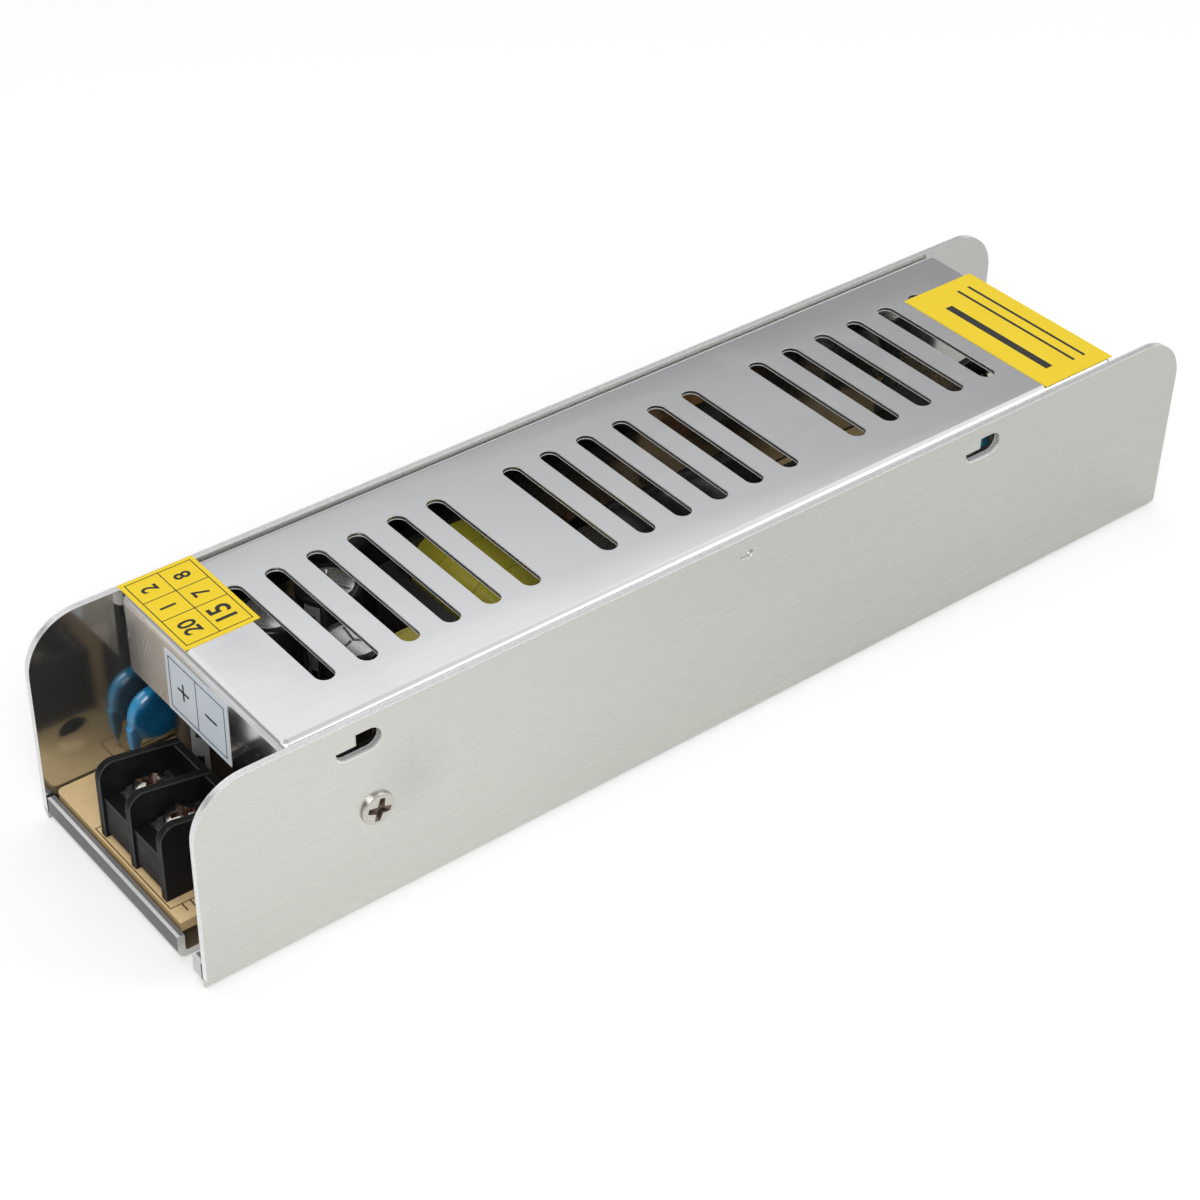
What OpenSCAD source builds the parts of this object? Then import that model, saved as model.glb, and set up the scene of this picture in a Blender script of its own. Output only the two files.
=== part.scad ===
// Mesh case switching power supply: a folded chassis and a slotted cover round a
// circuit board, with a screw terminal block at each end.
// X runs along the length, with the output end at -X. Z is up, and Z = 0 is the
// underside of the chassis.

/* [Case] */
// Length of the chassis
case_l = 190; // [188:1:215]
// Width over the side walls
case_w = 45; // [45:0.5:52]
// Height of the side walls
case_h = 35; // [35:0.5:40]
// Thickness of the chassis sheet
sheet_t = 1.2; // [0.8:0.1:1.5]
// Radius of the rounded top corners of the side walls
corner_r = 8.5; // [4:0.5:12]
// Outer radius of the chassis folds
fold_r = 1.6; // [1.6:0.1:2.2]
// Height of the upturned lip at each end
lip_h = 4.2; // [3.2:0.1:4.6]
// Gap between a lip and the side walls
lip_seam = 0.3; // [0.2:0.05:0.5]

/* [Mounting notches] */
// Width of each open mounting notch
notch_w = 4; // [3.2:0.1:4.4]
// Depth of each notch from the end face
notch_depth = 9; // [7:0.5:11]
// Distance from a notch's centre line to the outside of the nearer wall
notch_inset = 5.6; // [5.2:0.1:6]

/* [Cover] */
// Distance from each end of the case to the cover
cover_setback = 15; // [14.5:0.5:16]
// Thickness of the cover sheet
cover_t = 0.8; // [0.6:0.1:1]
// Outer radius of the cover folds
cover_r = 1.5; // [1.2:0.1:1.8]
// Gap between the cover and each side wall
cover_gap = 0.15; // [0.1:0.05:0.25]
// Height of the cover's side flanges
flange_h = 10; // [9:0.5:11]
// Height of the flap over each terminal block
flap_h = 13; // [11:0.5:14]

/* [Ventilation slots] */
// Length of a slot over its round ends
slot_l = 26; // [18:0.5:30]
// Width of a slot
slot_w = 3.1; // [2.2:0.1:3.6]
// Pitch of the slots
slot_pitch = 7.05; // [6.4:0.05:7.2]
// Slots in each group
slots_per_group = 6; // [3:1:6]
// Groups of slots
slot_groups = 3; // [1:1:3]

/* [Wall openings] */
// Length of a latch opening in the side wall
latch_l = 7.4; // [6:0.1:9]
// Height of a latch opening
latch_h = 3.8; // [3:0.1:4.4]
// Distance from the output end to its latch opening
latch_a_inset = 26; // [24:0.5:33]
// Distance from the input end to its latch opening
latch_b_inset = 46; // [35:0.5:51]
// Depth of the latch openings below the top edge
latch_drop = 4.2; // [4:0.1:5]
// Length of the small snap opening
snap_l = 2.6; // [2:0.1:3.4]
// Height of the small snap opening
snap_h = 1.5; // [1.2:0.1:1.8]
// Depth of the snap opening below the top edge
snap_drop = 3.3; // [2.8:0.1:3.8]

/* [Circuit board] */
// Thickness of the board
board_t = 1.6; // [1.2:0.1:1.8]
// Height of the embossed posts under the board
post_h = 2.2; // [2:0.1:3]
// Gap between the board's edges and the metal
board_gap = 0.3; // [0.2:0.1:0.5]
// Length of the board's cut corner over a mounting notch
board_cut_l = 14; // [12:0.5:15]
// Width of the board's cut corner, measured from the wall
board_cut_w = 7.8; // [7.4:0.1:8.4]
// Distance of the outer board screws from the board's ends
post_inset = 18; // [18:0.1:18.6]
// Distance of the outer board screws from the wall beside them
post_wall_gap = 9.8; // [9.3:0.1:10.3]
// Distance of the inner board screws from the wall beside them
mid_post_wall_gap = 4.3; // [3.7:0.1:4.5]

/* [Terminal blocks] */
// Poles of the output block
output_poles = 2; // [2:1:2]
// Poles of the input block
input_poles = 3; // [3:1:3]
// Pitch of the poles
term_pitch = 8.25; // [7.8:0.05:8.6]
// Thickness of the dividers
divider_t = 1.3; // [1:0.1:1.6]
// Depth of a block along the case
block_d = 13.5; // [13:0.1:14]
// Height of the dividers at the wire side
block_front_h = 13.2; // [12.4:0.1:14]
// Height of the block at its back wall
block_back_h = 11.2; // [10.6:0.1:12]
// Radius of the dividers' upper front corners
divider_r = 2.5; // [1.5:0.1:3.5]
// Height of the contacts above the board
contact_h = 7.4; // [6.6:0.1:7.6]
// Thickness of the contacts
contact_t = 0.8; // [0.6:0.1:1]
// Thread diameter of the terminal screws
term_screw_d = 2.9; // [2.4:0.1:3.2]
// Head diameter of the terminal screws
term_head_d = 5.6; // [5:0.1:6]
// Head height of the terminal screws
term_head_h = 2; // [1.6:0.1:2.2]
// Thickness of the clamp plates under the screws
clamp_t = 0.7; // [0.5:0.1:0.9]

/* [Machine screws] */
// Distance from the output end to the clamp screw
clamp_inset = 28.5; // [27.5:0.5:30]
// Height of the clamp screw
clamp_z = 18.2; // [17.8:0.1:19]
// Head diameter of the machine screws
screw_head_d = 5.5; // [5:0.1:6]
// Head height of the machine screws
screw_head_h = 1.9; // [1.6:0.1:2.2]
// Thread diameter of the machine screws
screw_d = 2.9; // [2.4:0.1:3]

/* [Output side parts] */
// Diameter of the output capacitors
out_cap_d = 10; // [8:0.5:10]
// Height of the output capacitors
out_cap_h = 25; // [20:0.5:26]
// Diameter of the disc capacitor
disc_d = 9.6; // [8:0.2:10]
// Thickness of the disc capacitor
disc_t = 3.2; // [2.6:0.1:3.4]
// Width of the output inductor's core
inductor_w = 11; // [10:0.5:11.5]

/* [Transformer] */
// Width of the core along the case
core_w = 24; // [23:0.5:25]
// Height of the core
core_h = 11; // [9:0.5:12]
// Length of the taped winding
winding_l = 26; // [24:0.5:27]
// Width of the taped winding
winding_w = 15.5; // [14:0.5:16]
// Height of the taped winding
winding_h = 21; // [18:0.5:22]

/* [Input side parts] */
// Diameter of the bulk capacitor
bulk_d = 22; // [18:0.5:22]
// Length of the bulk capacitor
bulk_l = 32; // [28:0.5:33]
// Height of the heatsink
heatsink_h = 24; // [20:0.5:26]
// Thickness of the heatsink plate
heatsink_t = 1.5; // [1.2:0.1:2]
// Number of fins on the heatsink
fin_count = 6; // [3:1:7]
// Diameter of the varistor
varistor_d = 14; // [12:0.5:15]

/* [Labels] */
// Thickness of the stickers
label_t = 0.1; // [0.08:0.01:0.2]

/* [Hidden] */

$fn = 64;
eps = 0.01;

half_l = case_l / 2;
half_w = case_w / 2;
inner_w = case_w - 2 * sheet_t;
inner_y = inner_w / 2;

board_z0 = sheet_t + post_h;
board_z = board_z0 + board_t;
board_end = half_l - sheet_t - board_gap;
board_side = inner_y - board_gap;
board_cut_y = inner_y - board_cut_w;

cover_l = case_l - 2 * cover_setback;
cover_w = inner_w - 2 * cover_gap;
cover_y = cover_w / 2;
cover_x = cover_l / 2;

notch_y = half_w - notch_inset;
group_pitch = slot_pitch * (slots_per_group + 1);

latch_a_x = latch_a_inset - half_l;
latch_b_x = half_l - latch_b_inset;
latch_z = case_h - latch_drop;
snap_z = case_h - snap_drop;
tongue_clear = 0.2;
tongue_reach = cover_gap + sheet_t * 0.75;
snap_reach = cover_gap + sheet_t * 0.5;

// Fit of a loose screw in its hole, all round
screw_clear = 0.1;

// Terminal blocks
block_inset = 0.6;
block_foot = 1;
block_setback = 0.4;
block_wall = 1.4;
block_floor = 1.5;
pole_x = 6.3;
contact_x0 = 1.2;
contact_l = 9.4;
pole_play = 0.4;
plate_w = term_pitch - divider_t - 2 * pole_play;
clamp_corner = 0.8;
term_shank_l = contact_h + clamp_t - block_floor - 1.1;

// Package of the rectifier and of the transistor
package_w = 10;
package_t = 4.5;
package_body_h = 9.2;
package_tab_t = 1.3;
package_tab_h = 15.5;
package_hole_drop = 2.9;
package_hole_d = 3.6;
lead_w = 0.8;
lead_t = 0.5;
lead_pitch = 2.54;
pad_t = 0.3;

can_wall = 0.25;
can_lip = 0.6;

// Windings, and the parts round them
inductor_l = 17;
choke_l = 18;
choke_w = 15;

// Small parts of the input side
film_l = 16;
film_w = 6.4;
film_h = 15;
bridge_plate = [1.2, 17, 22];
bridge_body = [3.6, 15, 13];
bridge_side = 1;
varistor_t = 4;
thermistor_d = 11;
thermistor_t = 4.5;
chip_l = 9.6;
chip_w = 6.4;
chip_h = 3.4;
resistor_count = 4;

// ---------- places of the board's parts ----------

// Each end group keeps its distance from its terminal block. The middle group is
// spread over the room between them.
clamp_x = clamp_inset - half_l;
block_back = board_end - block_inset - block_d;

cap_block_gap = 1.4;
cap_gap = 0.7;
cap_wall_gap = 5.3;
cap_row_gap = 3.2;
cap_row_y = inner_y - out_cap_d / 2 - cap_wall_gap;
first_cap_x = -block_back + cap_block_gap + out_cap_d / 2;
second_cap_x = first_cap_x + out_cap_d + cap_gap;
third_cap_x = second_cap_x + out_cap_d + cap_gap;
inductor_x = third_cap_x + out_cap_d * 0.66;
inductor_y = -inductor_l * 0.353;
fourth_cap_x = inductor_x - inductor_w / 2 - cap_gap - out_cap_d / 2;
fourth_cap_y = cap_row_y - out_cap_d - cap_row_gap;
disc_wall_gap = 0.8;
disc_x = first_cap_x - out_cap_d * 0.44;
disc_y = board_side - disc_t / 2 - disc_wall_gap;
core_gap = 0.5;
transformer_x = inductor_x + inductor_w / 2 + core_gap + core_w / 2;
transformer_y = 2 * core_gap;

fuse_block_gap = 8.4;
fuse_bridge_gap = 8;
film_bridge_gap = 2;
varistor_wall_gap = 2.2;
varistor_film_gap = 1.6;
film_choke_gap = 1.8;
film_body_gap = 0.8;
thermistor_wall_gap = 3.75;
thermistor_bridge_gap = 0.2;
fuse_x = block_back - fuse_block_gap;
bridge_x = fuse_x - fuse_bridge_gap;
film_x = bridge_x - film_bridge_gap - film_l / 2;
varistor_x = film_x + film_l / 16;
varistor_y = varistor_t / 2 + varistor_wall_gap - board_side;
film_y = varistor_y + varistor_t / 2 + film_w / 2 + varistor_film_gap;
bridge_y = film_y + film_w / 2 + film_body_gap - bridge_side;
choke_x = bridge_x - choke_w - film_bridge_gap;
choke_y = film_y + film_w / 2 + choke_l / 2 + film_choke_gap;
thermistor_x = bridge_x + bridge_plate[0] + thermistor_bridge_gap + thermistor_d / 2;
thermistor_y = board_side - thermistor_t / 2 - thermistor_wall_gap;

heatsink_gap = 5;
heatsink_end_gap = 10;
heatsink_wall_gap = 6.5;
chip_gap = 1;
chip_wall_gap = 2.3;
resistor_wall_gap = 5;
core_side = transformer_x + core_w / 2;
choke_side = choke_x - choke_w / 2;
bulk_x = core_side + (choke_side - core_side - bulk_l) / 3 + bulk_l / 2;
bulk_y = 2 * core_gap;
heatsink_x0 = core_side + heatsink_gap;
heatsink_l = film_x - film_l / 2 - heatsink_end_gap - heatsink_x0;
heatsink_y = heatsink_wall_gap - inner_y;
transistor_x = heatsink_x0 + heatsink_l - package_w / 2;
chip_x = core_side + chip_gap + chip_l / 2;
chip_y = board_side - chip_wall_gap - chip_w / 2;
resistor_pitch = (choke_side - core_side) / 9;
resistor_x = core_side + 3.5 * resistor_pitch;
resistor_y = board_side - resistor_wall_gap;

// Posts pressed out of the base, and where they stand
post_base_r = 4;
post_top_r = 2.9;
post_core_gap = 1;
post_places = [
    [post_inset - board_end, post_wall_gap - inner_y],
    [transformer_x - core_w / 2 - post_core_gap - post_base_r, inner_y - mid_post_wall_gap],
    [film_x - film_l / 2 - post_base_r, mid_post_wall_gap - inner_y],
    [board_end - post_inset, inner_y - post_wall_gap]
];

// ---------- shared outlines ----------

// A rectangle with round corners
module round_rect(w, h, r) {
    square([w - 2 * r, h], center = true);
    square([w, h - 2 * r], center = true);
    for (x = [-1, 1], y = [-1, 1])
        translate([x * (w / 2 - r), y * (h / 2 - r)])
            circle(r);
}

// A rectangle that stands on the axis, with its two lower corners round
module round_foot(w, h, r) {
    translate([-w / 2, r])
        square([w, h - r]);
    translate([-w / 2 + r, 0])
        square([w - 2 * r, h]);
    for (s = [-1, 1])
        translate([s * (w / 2 - r), r])
            circle(r);
}

// Section of a folded channel, open at the top
module channel(w, h, t, r) {
    difference() {
        round_foot(w, h, r);
        translate([0, t])
            round_foot(w - 2 * t, h, r - t);
    }
}

// A slot with round ends, l long over its ends
module obround(l, w) {
    square([l - w, w], center = true);
    for (s = [-1, 1])
        translate([s * (l - w) / 2, 0])
            circle(d = w);
}

// Extrudes an outline drawn in Y and Z along X, centred
module along_x(l) {
    rotate([90, 0, 90])
        linear_extrude(l, center = true)
            children();
}

// Extrudes an outline drawn in X and Z along Y, centred
module along_y(l) {
    rotate([90, 0, 0])
        linear_extrude(l, center = true)
            children();
}

// ---------- shared hardware ----------

// A pan head screw: the head stands on z = 0 and the thread points down
module pan_screw(head_d, head_h, shank_d, shank_l) {
    edge_h = head_h * 0.45;
    dome_h = head_h - edge_h;
    dome_r = (pow(head_d / 2, 2) + pow(dome_h, 2)) / (2 * dome_h);
    recess = head_d * 0.55;
    difference() {
        union() {
            intersection() {
                cylinder(h = head_h, d = head_d);
                translate([0, 0, head_h - dome_r])
                    sphere(dome_r);
            }
            translate([0, 0, -shank_l])
                cylinder(h = shank_l + head_h / 4, d = shank_d);
        }
        for (a = [0, 90])
            rotate([0, 0, a])
                translate([-recess / 2, -recess / 8, head_h * 0.45])
                    cube([recess, recess / 4, head_h]);
    }
}

// A power package standing on z = 0: its tab lies on the plane y = 0, its front
// faces +Y, and its leads reach down to the board
module power_package(lead_h) {
    tab_z0 = lead_h + package_body_h - 3;
    tab_z1 = lead_h + package_tab_h;
    difference() {
        union() {
            translate([-package_w / 2, 0, tab_z0])
                cube([package_w, package_tab_t, tab_z1 - tab_z0]);
            translate([-package_w / 2, 0.2, lead_h])
                cube([package_w, package_t - 0.2, package_body_h]);
            for (k = [-1:1])
                translate([k * lead_pitch - lead_w / 2, package_t / 2, 0])
                    cube([lead_w, lead_t, lead_h + 1]);
        }
        translate([0, -1, tab_z1 - package_hole_drop])
            rotate([-90, 0, 0])
                cylinder(h = package_tab_t + 2, d = package_hole_d);
    }
}

// A disc standing on edge across Y, with two leads down to the board
module leaded_disc(d, t, lift, lead_gap) {
    edge = t / 2;
    translate([0, 0, lift + d / 2])
        rotate([90, 0, 0])
            rotate_extrude() {
                translate([0, -t / 2])
                    square([d / 2 - edge, t]);
                translate([d / 2 - edge, 0])
                    intersection() {
                        circle(edge);
                        translate([0, -edge])
                            square([edge, 2 * edge]);
                    }
            }
    for (s = [-1, 1])
        translate([s * lead_gap / 2, 0, 0]) {
            cylinder(h = lift + d / 4, d = 0.7);
            translate([0, 0, lift / 2])
                cylinder(h = lift / 2 + d / 4, r1 = 0.6, r2 = t / 2.4);
        }
}

// A standing capacitor's shrunk sleeve, with its rim turned over the can
module capacitor_sleeve(d, h) {
    rotate_extrude()
        polygon([[d / 2 - can_wall, 0], [d / 2, 0], [d / 2, h - 0.3], [d / 2 - 0.3, h],
                 [d / 2 - can_lip, h], [d / 2 - can_lip, h - can_wall],
                 [d / 2 - can_wall, h - can_wall]]);
}

// The can inside it, with three vent grooves pressed in its top
module capacitor_can(d, h) {
    groove = 0.35;
    difference() {
        cylinder(h = h - can_wall, r = d / 2 - can_wall);
        for (a = [90, 210, 330])
            rotate([0, 0, a])
                translate([0, -groove / 2, h - can_wall - groove])
                    cube([d / 2 - 1.6, groove, 1]);
    }
}

// Two E-shaped ferrite halves round a winding whose axis is Y; win_l and win_w
// are the window between the outer legs, and the centre is at the origin
module e_core(w, l, h, win_l, win_w, leg_d) {
    difference() {
        cube([w, l, h], center = true);
        cube([win_w, win_l, h + 1], center = true);
    }
    rotate([90, 0, 0])
        cylinder(h = win_l + eps, d = leg_d, center = true);
}

// ---------- case ----------

module side_outline() {
    translate([0, case_h])
        mirror([0, 1])
            round_foot(case_l, case_h, corner_r);
}

module embossed_posts() {
    for (p = post_places)
        translate([p[0], p[1], 0])
            rotate_extrude()
                polygon([[0, 0], [post_base_r, 0], [post_base_r, sheet_t],
                         [post_top_r, board_z0], [0, board_z0]]);
}

module embossed_hollows() {
    for (p = post_places)
        translate([p[0], p[1], 0])
            rotate_extrude()
                polygon([[0, -1], [post_base_r - 1, -1], [post_base_r - 1, 0],
                         [post_top_r - 1, board_z0 - 1.2],
                         [screw_d / 2 + screw_clear, board_z0 - 1.2],
                         [screw_d / 2 + screw_clear, board_z0 + 1], [0, board_z0 + 1]]);
}

module mounting_notch() {
    translate([-half_l, -notch_y, 0])
        linear_extrude(4 * lip_h, center = true) {
            translate([-1, -notch_w / 2])
                square([notch_depth - notch_w / 2 + 1, notch_w]);
            translate([notch_depth - notch_w / 2, 0])
                circle(d = notch_w);
        }
}

// Openings for the cover's latches, on both walls
module wall_openings() {
    along_y(case_w + 2) {
        for (x = [latch_a_x, latch_b_x])
            translate([x, latch_z])
                obround(latch_l, latch_h);
        translate([0, snap_z])
            obround(snap_l, snap_h);
    }
}

module chassis() {
    color("gainsboro")
        difference() {
            union() {
                difference() {
                    intersection() {
                        along_x(case_l)
                            channel(case_w, case_h, sheet_t, fold_r);
                        along_y(case_w)
                            side_outline();
                    }
                    for (s = [-1, 1])
                        translate([s * half_l - fold_r, -inner_y, -1])
                            cube([2 * fold_r, inner_w, fold_r + 1]);
                }
                along_y(inner_w - 2 * lip_seam)
                    channel(case_l, lip_h, sheet_t, fold_r);
                embossed_posts();
            }
            embossed_hollows();
            for (a = [0, 180])
                rotate([0, 0, a])
                    mounting_notch();
            wall_openings();
            translate([clamp_x, -half_w, clamp_z])
                rotate([90, 0, 0])
                    cylinder(h = 3 * sheet_t, r = screw_d / 2 + screw_clear, center = true);
        }
}

// Tongue that springs into a latch opening and stands on its lower edge; it is
// half round at its input end
module latch_tongue() {
    tongue_r = latch_h / 2 - tongue_clear;
    intersection() {
        cylinder(h = tongue_reach + cover_t, r = tongue_r);
        translate([0, -tongue_r, 0])
            cube([tongue_r, 2 * tongue_r, tongue_reach + cover_t]);
    }
}

module cover_side() {
    for (x = [latch_a_x, latch_b_x])
        translate([x + (latch_l - latch_h) / 2, cover_t - cover_y, latch_z - tongue_clear])
            rotate([90, 0, 0])
                latch_tongue();
    translate([0, cover_t - cover_y, snap_z])
        rotate([90, 0, 0])
            linear_extrude(snap_reach + cover_t)
                obround(snap_l - 2 * tongue_clear, snap_h - 2 * tongue_clear);
}

// Window that frees a tongue, cut in the flange beside it
module cover_windows() {
    window_l = (latch_l - latch_h) / 2 + 1;
    along_y(case_w)
        for (x = [latch_a_x, latch_b_x])
            translate([x - window_l / 2 + 0.6, latch_z])
                square([window_l, latch_h - 0.8], center = true);
}

module vent_slots() {
    for (g = [0:slot_groups - 1], k = [0:slots_per_group - 1])
        translate([(g - (slot_groups - 1) / 2) * group_pitch
                   + (k - (slots_per_group - 1) / 2) * slot_pitch, 0, case_h])
            linear_extrude(4 * cover_t, center = true)
                rotate(90)
                    obround(slot_l, slot_w);
}

module cover() {
    color("silver")
        difference() {
            union() {
                translate([0, 0, case_h])
                    mirror([0, 0, 1]) {
                        along_x(cover_l - 2 * cover_r)
                            channel(cover_w, flange_h, cover_t, cover_r);
                        along_y(cover_w - 2 * cover_r)
                            channel(cover_l, flap_h, cover_t, cover_r);
                    }
                cover_side();
                mirror([0, 1, 0])
                    cover_side();
            }
            vent_slots();
            cover_windows();
        }
}

// ---------- board ----------

module insulation_sheet() {
    film_t = 0.3;
    film_l = 2 * (board_end - board_cut_l - 1);
    film_w = inner_w - 2 * fold_r;
    color("whitesmoke", 0.6)
        translate([0, 0, sheet_t])
            linear_extrude(film_t)
                difference() {
                    square([film_l, film_w], center = true);
                    for (p = post_places)
                        translate(p)
                            circle(post_base_r + 0.4);
                }
}

module circuit_board() {
    corner = 1;
    cut_x = board_end - board_cut_l;
    color("tan")
        translate([0, 0, board_z0])
            linear_extrude(board_t)
                difference() {
                    round_rect(2 * board_end, 2 * board_side, corner);
                    for (s = [-1, 1])
                        translate([s * (cut_x + board_cut_l), s * (board_cut_y + board_cut_w)])
                            square([2 * board_cut_l, 2 * board_cut_w], center = true);
                    for (p = post_places)
                        translate(p)
                            circle(screw_d / 2 + screw_clear);
                }
}

module board_screws() {
    color("silver")
        for (p = post_places)
            translate([p[0], p[1], board_z])
                pan_screw(screw_head_d, screw_head_h, screw_d, board_t + post_h + sheet_t - 0.4);
}

// ---------- terminal blocks ----------

// Places a block's parts: x = 0 is the wire side and x grows into the case
module at_block(side) {
    rotate([0, 0, side < 0 ? 0 : 180])
        translate([-board_end + block_inset, 0, board_z])
            children();
}

function block_w(poles) = poles * term_pitch + divider_t;
function pole_y(poles, k) = (k - (poles - 1) / 2) * term_pitch;

module divider_outline() {
    polygon([[0, 0], [block_d, 0], [block_d, block_back_h], [divider_r, block_front_h],
             [divider_r, block_front_h - divider_r], [0, block_front_h - divider_r]]);
    intersection() {
        translate([divider_r, block_front_h - divider_r])
            circle(divider_r);
        translate([0, block_front_h - divider_r])
            square(divider_r);
    }
}

module barrier_block(poles) {
    w = block_w(poles);
    lug_d = 1.8;
    difference() {
        union() {
            translate([block_setback, -w / 2, block_foot])
                cube([block_d - block_setback, w, contact_h - block_foot]);
            translate([block_d - block_wall, -w / 2, block_foot])
                cube([block_wall, w, block_back_h - block_foot]);
            for (k = [0:poles])
                translate([0, -w / 2 + k * term_pitch + divider_t / 2, 0])
                    along_y(divider_t)
                        divider_outline();
            translate([block_setback + lug_d, w / 2, block_foot])
                cylinder(h = contact_h, d = lug_d);
        }
        for (k = [0:poles - 1])
            translate([0, pole_y(poles, k), 0]) {
                translate([contact_x0, -plate_w / 2, contact_h - contact_t])
                    cube([contact_l, plate_w, contact_t + 1]);
                translate([pole_x, 0, block_floor])
                    cylinder(h = contact_h, r = term_screw_d / 2 + 3 * screw_clear);
            }
        translate([block_d * 0.3, -w, -1])
            cube([block_d * 0.4, 2 * w, block_foot + 1]);
    }
}

module pole_contacts(poles) {
    for (k = [0:poles - 1])
        translate([0, pole_y(poles, k), contact_h - contact_t])
            difference() {
                translate([contact_x0, -plate_w / 2, 0])
                    cube([contact_l, plate_w, contact_t]);
                translate([pole_x, 0, -1])
                    cylinder(h = contact_t + 2, r = term_screw_d / 2 + screw_clear);
            }
}

module clamp_plate(poles, k) {
    translate([pole_x, pole_y(poles, k), contact_h])
        linear_extrude(clamp_t)
            difference() {
                square(plate_w, center = true);
                circle(r = term_screw_d / 2 + screw_clear);
                for (a = [0:90:270])
                    rotate(a)
                        translate([plate_w / 2, plate_w / 2])
                            rotate(45)
                                square(clamp_corner, center = true);
            }
}

module pole_screw(poles, k) {
    translate([pole_x, pole_y(poles, k), contact_h + clamp_t])
        pan_screw(term_head_d, term_head_h, term_screw_d, term_shank_l);
}

module output_block() {
    color("dimgray")
        at_block(-1)
            barrier_block(output_poles);
}

module output_contacts() {
    color("silver")
        at_block(-1)
            pole_contacts(output_poles);
}

module output_clamp(k) {
    color("silver")
        at_block(-1)
            clamp_plate(output_poles, k);
}

module output_screw(k) {
    color("lightgray")
        at_block(-1)
            pole_screw(output_poles, k);
}

module input_block() {
    color("dimgray")
        at_block(1)
            barrier_block(input_poles);
}

module input_contacts() {
    color("silver")
        at_block(1)
            pole_contacts(input_poles);
}

module input_clamp(k) {
    color("silver")
        at_block(1)
            clamp_plate(input_poles, k);
}

module input_screw(k) {
    color("lightgray")
        at_block(1)
            pole_screw(input_poles, k);
}

// ---------- rectifier clamped to the wall ----------

rectifier_y = pad_t - inner_y;
rectifier_lead_h = clamp_z + package_hole_drop - package_tab_h - board_z;
nut_h = 2.4;
nut_d = 6.3;

module clamp_screw() {
    color("silver")
        translate([clamp_x, -half_w, clamp_z])
            rotate([90, 0, 0])
                pan_screw(screw_head_d, screw_head_h, screw_d,
                          sheet_t + pad_t + package_tab_t + nut_h + 0.4);
}

module clamp_nut() {
    color("silver")
        translate([clamp_x, rectifier_y + package_tab_t, clamp_z])
            rotate([-90, 30, 0])
                difference() {
                    cylinder(h = nut_h, d = nut_d, $fn = 6);
                    translate([0, 0, -1])
                        cylinder(h = nut_h + 2, r = screw_d / 2 + screw_clear / 10);
                }
}

module rectifier() {
    color("darkslategray")
        translate([clamp_x, rectifier_y, board_z])
            power_package(rectifier_lead_h);
}

module rectifier_pad() {
    pad_w = package_w + 2;
    pad_h = package_tab_h + 1.5;
    color("lightsteelblue")
        translate([clamp_x, -inner_y, clamp_z])
            rotate([-90, 0, 0])
                linear_extrude(pad_t)
                    difference() {
                        translate([-pad_w / 2, -package_hole_drop - 0.6])
                            square([pad_w, pad_h - 1]);
                        circle(r = screw_d / 2 + screw_clear);
                    }
}

// ---------- output side ----------

out_cap_places = [[first_cap_x, cap_row_y], [second_cap_x, cap_row_y - 0.8],
    [third_cap_x, cap_row_y - 0.2], [fourth_cap_x, fourth_cap_y]];
disc_lift = 4.2;
disc_lead_gap = disc_d - 1.6;

module output_capacitor_sleeves() {
    color("black")
        for (p = out_cap_places)
            translate([p[0], p[1], board_z])
                capacitor_sleeve(out_cap_d, out_cap_h);
}

module output_capacitor_cans() {
    color("silver")
        for (p = out_cap_places)
            translate([p[0], p[1], board_z])
                capacitor_can(out_cap_d, out_cap_h);
}

module disc_capacitor() {
    color("dodgerblue")
        translate([disc_x, disc_y, board_z])
            leaded_disc(disc_d, disc_t, disc_lift, disc_lead_gap);
}

inductor_leg = 2;
inductor_win_l = inductor_l - 2 * inductor_leg;
inductor_win_w = inductor_w - 2 * inductor_leg;
inductor_coil_h = 20;
inductor_core_h = 8;
inductor_post_d = 4;

module inductor_core() {
    color("dimgray")
        translate([inductor_x, inductor_y, board_z + inductor_coil_h / 2])
            e_core(inductor_w, inductor_l, inductor_core_h, inductor_win_l, inductor_win_w,
                   inductor_post_d);
}

// A coil under tape, its axis along Y, centred, with a bore for the core's leg
module taped_coil(w, l, h, bore_d) {
    along_y(l)
        difference() {
            round_rect(w, h, w * 0.3);
            circle(d = bore_d);
        }
}

module inductor_winding() {
    color("gold")
        translate([inductor_x, inductor_y, board_z + inductor_coil_h / 2])
            taped_coil(inductor_win_w, inductor_win_l, inductor_coil_h, inductor_post_d);
}

// ---------- transformer ----------

flange_t = 1;
core_leg = 2.5;
core_post_d = 8;
bobbin_foot = 2;
transformer_z = board_z + bobbin_foot + winding_h / 2;
window_l = winding_l + 2 * flange_t;
window_w = core_w - 2 * core_leg;

module at_transformer() {
    translate([transformer_x, transformer_y, transformer_z])
        children();
}

module transformer_core() {
    color("dimgray")
        at_transformer()
            e_core(core_w, window_l + 2 * core_leg, core_h, window_l, window_w, core_post_d);
}

module transformer_bobbin() {
    foot_w = window_w - 1;
    color("black")
        at_transformer()
            for (s = [-1, 1])
                translate([0, s * (window_l - flange_t) / 2, 0]) {
                    along_y(flange_t)
                        difference() {
                            square([window_w - 0.4, winding_h], center = true);
                            circle(d = core_post_d);
                        }
                    translate([-foot_w / 2, -flange_t / 2, -winding_h / 2 - bobbin_foot])
                        cube([foot_w, flange_t, bobbin_foot + eps]);
                }
}

module transformer_winding() {
    color("gold")
        at_transformer()
            taped_coil(winding_w, winding_l, winding_h, core_post_d);
}

// ---------- input side ----------

module at_bulk() {
    translate([bulk_x - bulk_l / 2, bulk_y, board_z + bulk_d / 2])
        rotate([0, 90, 0])
            children();
}

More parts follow.
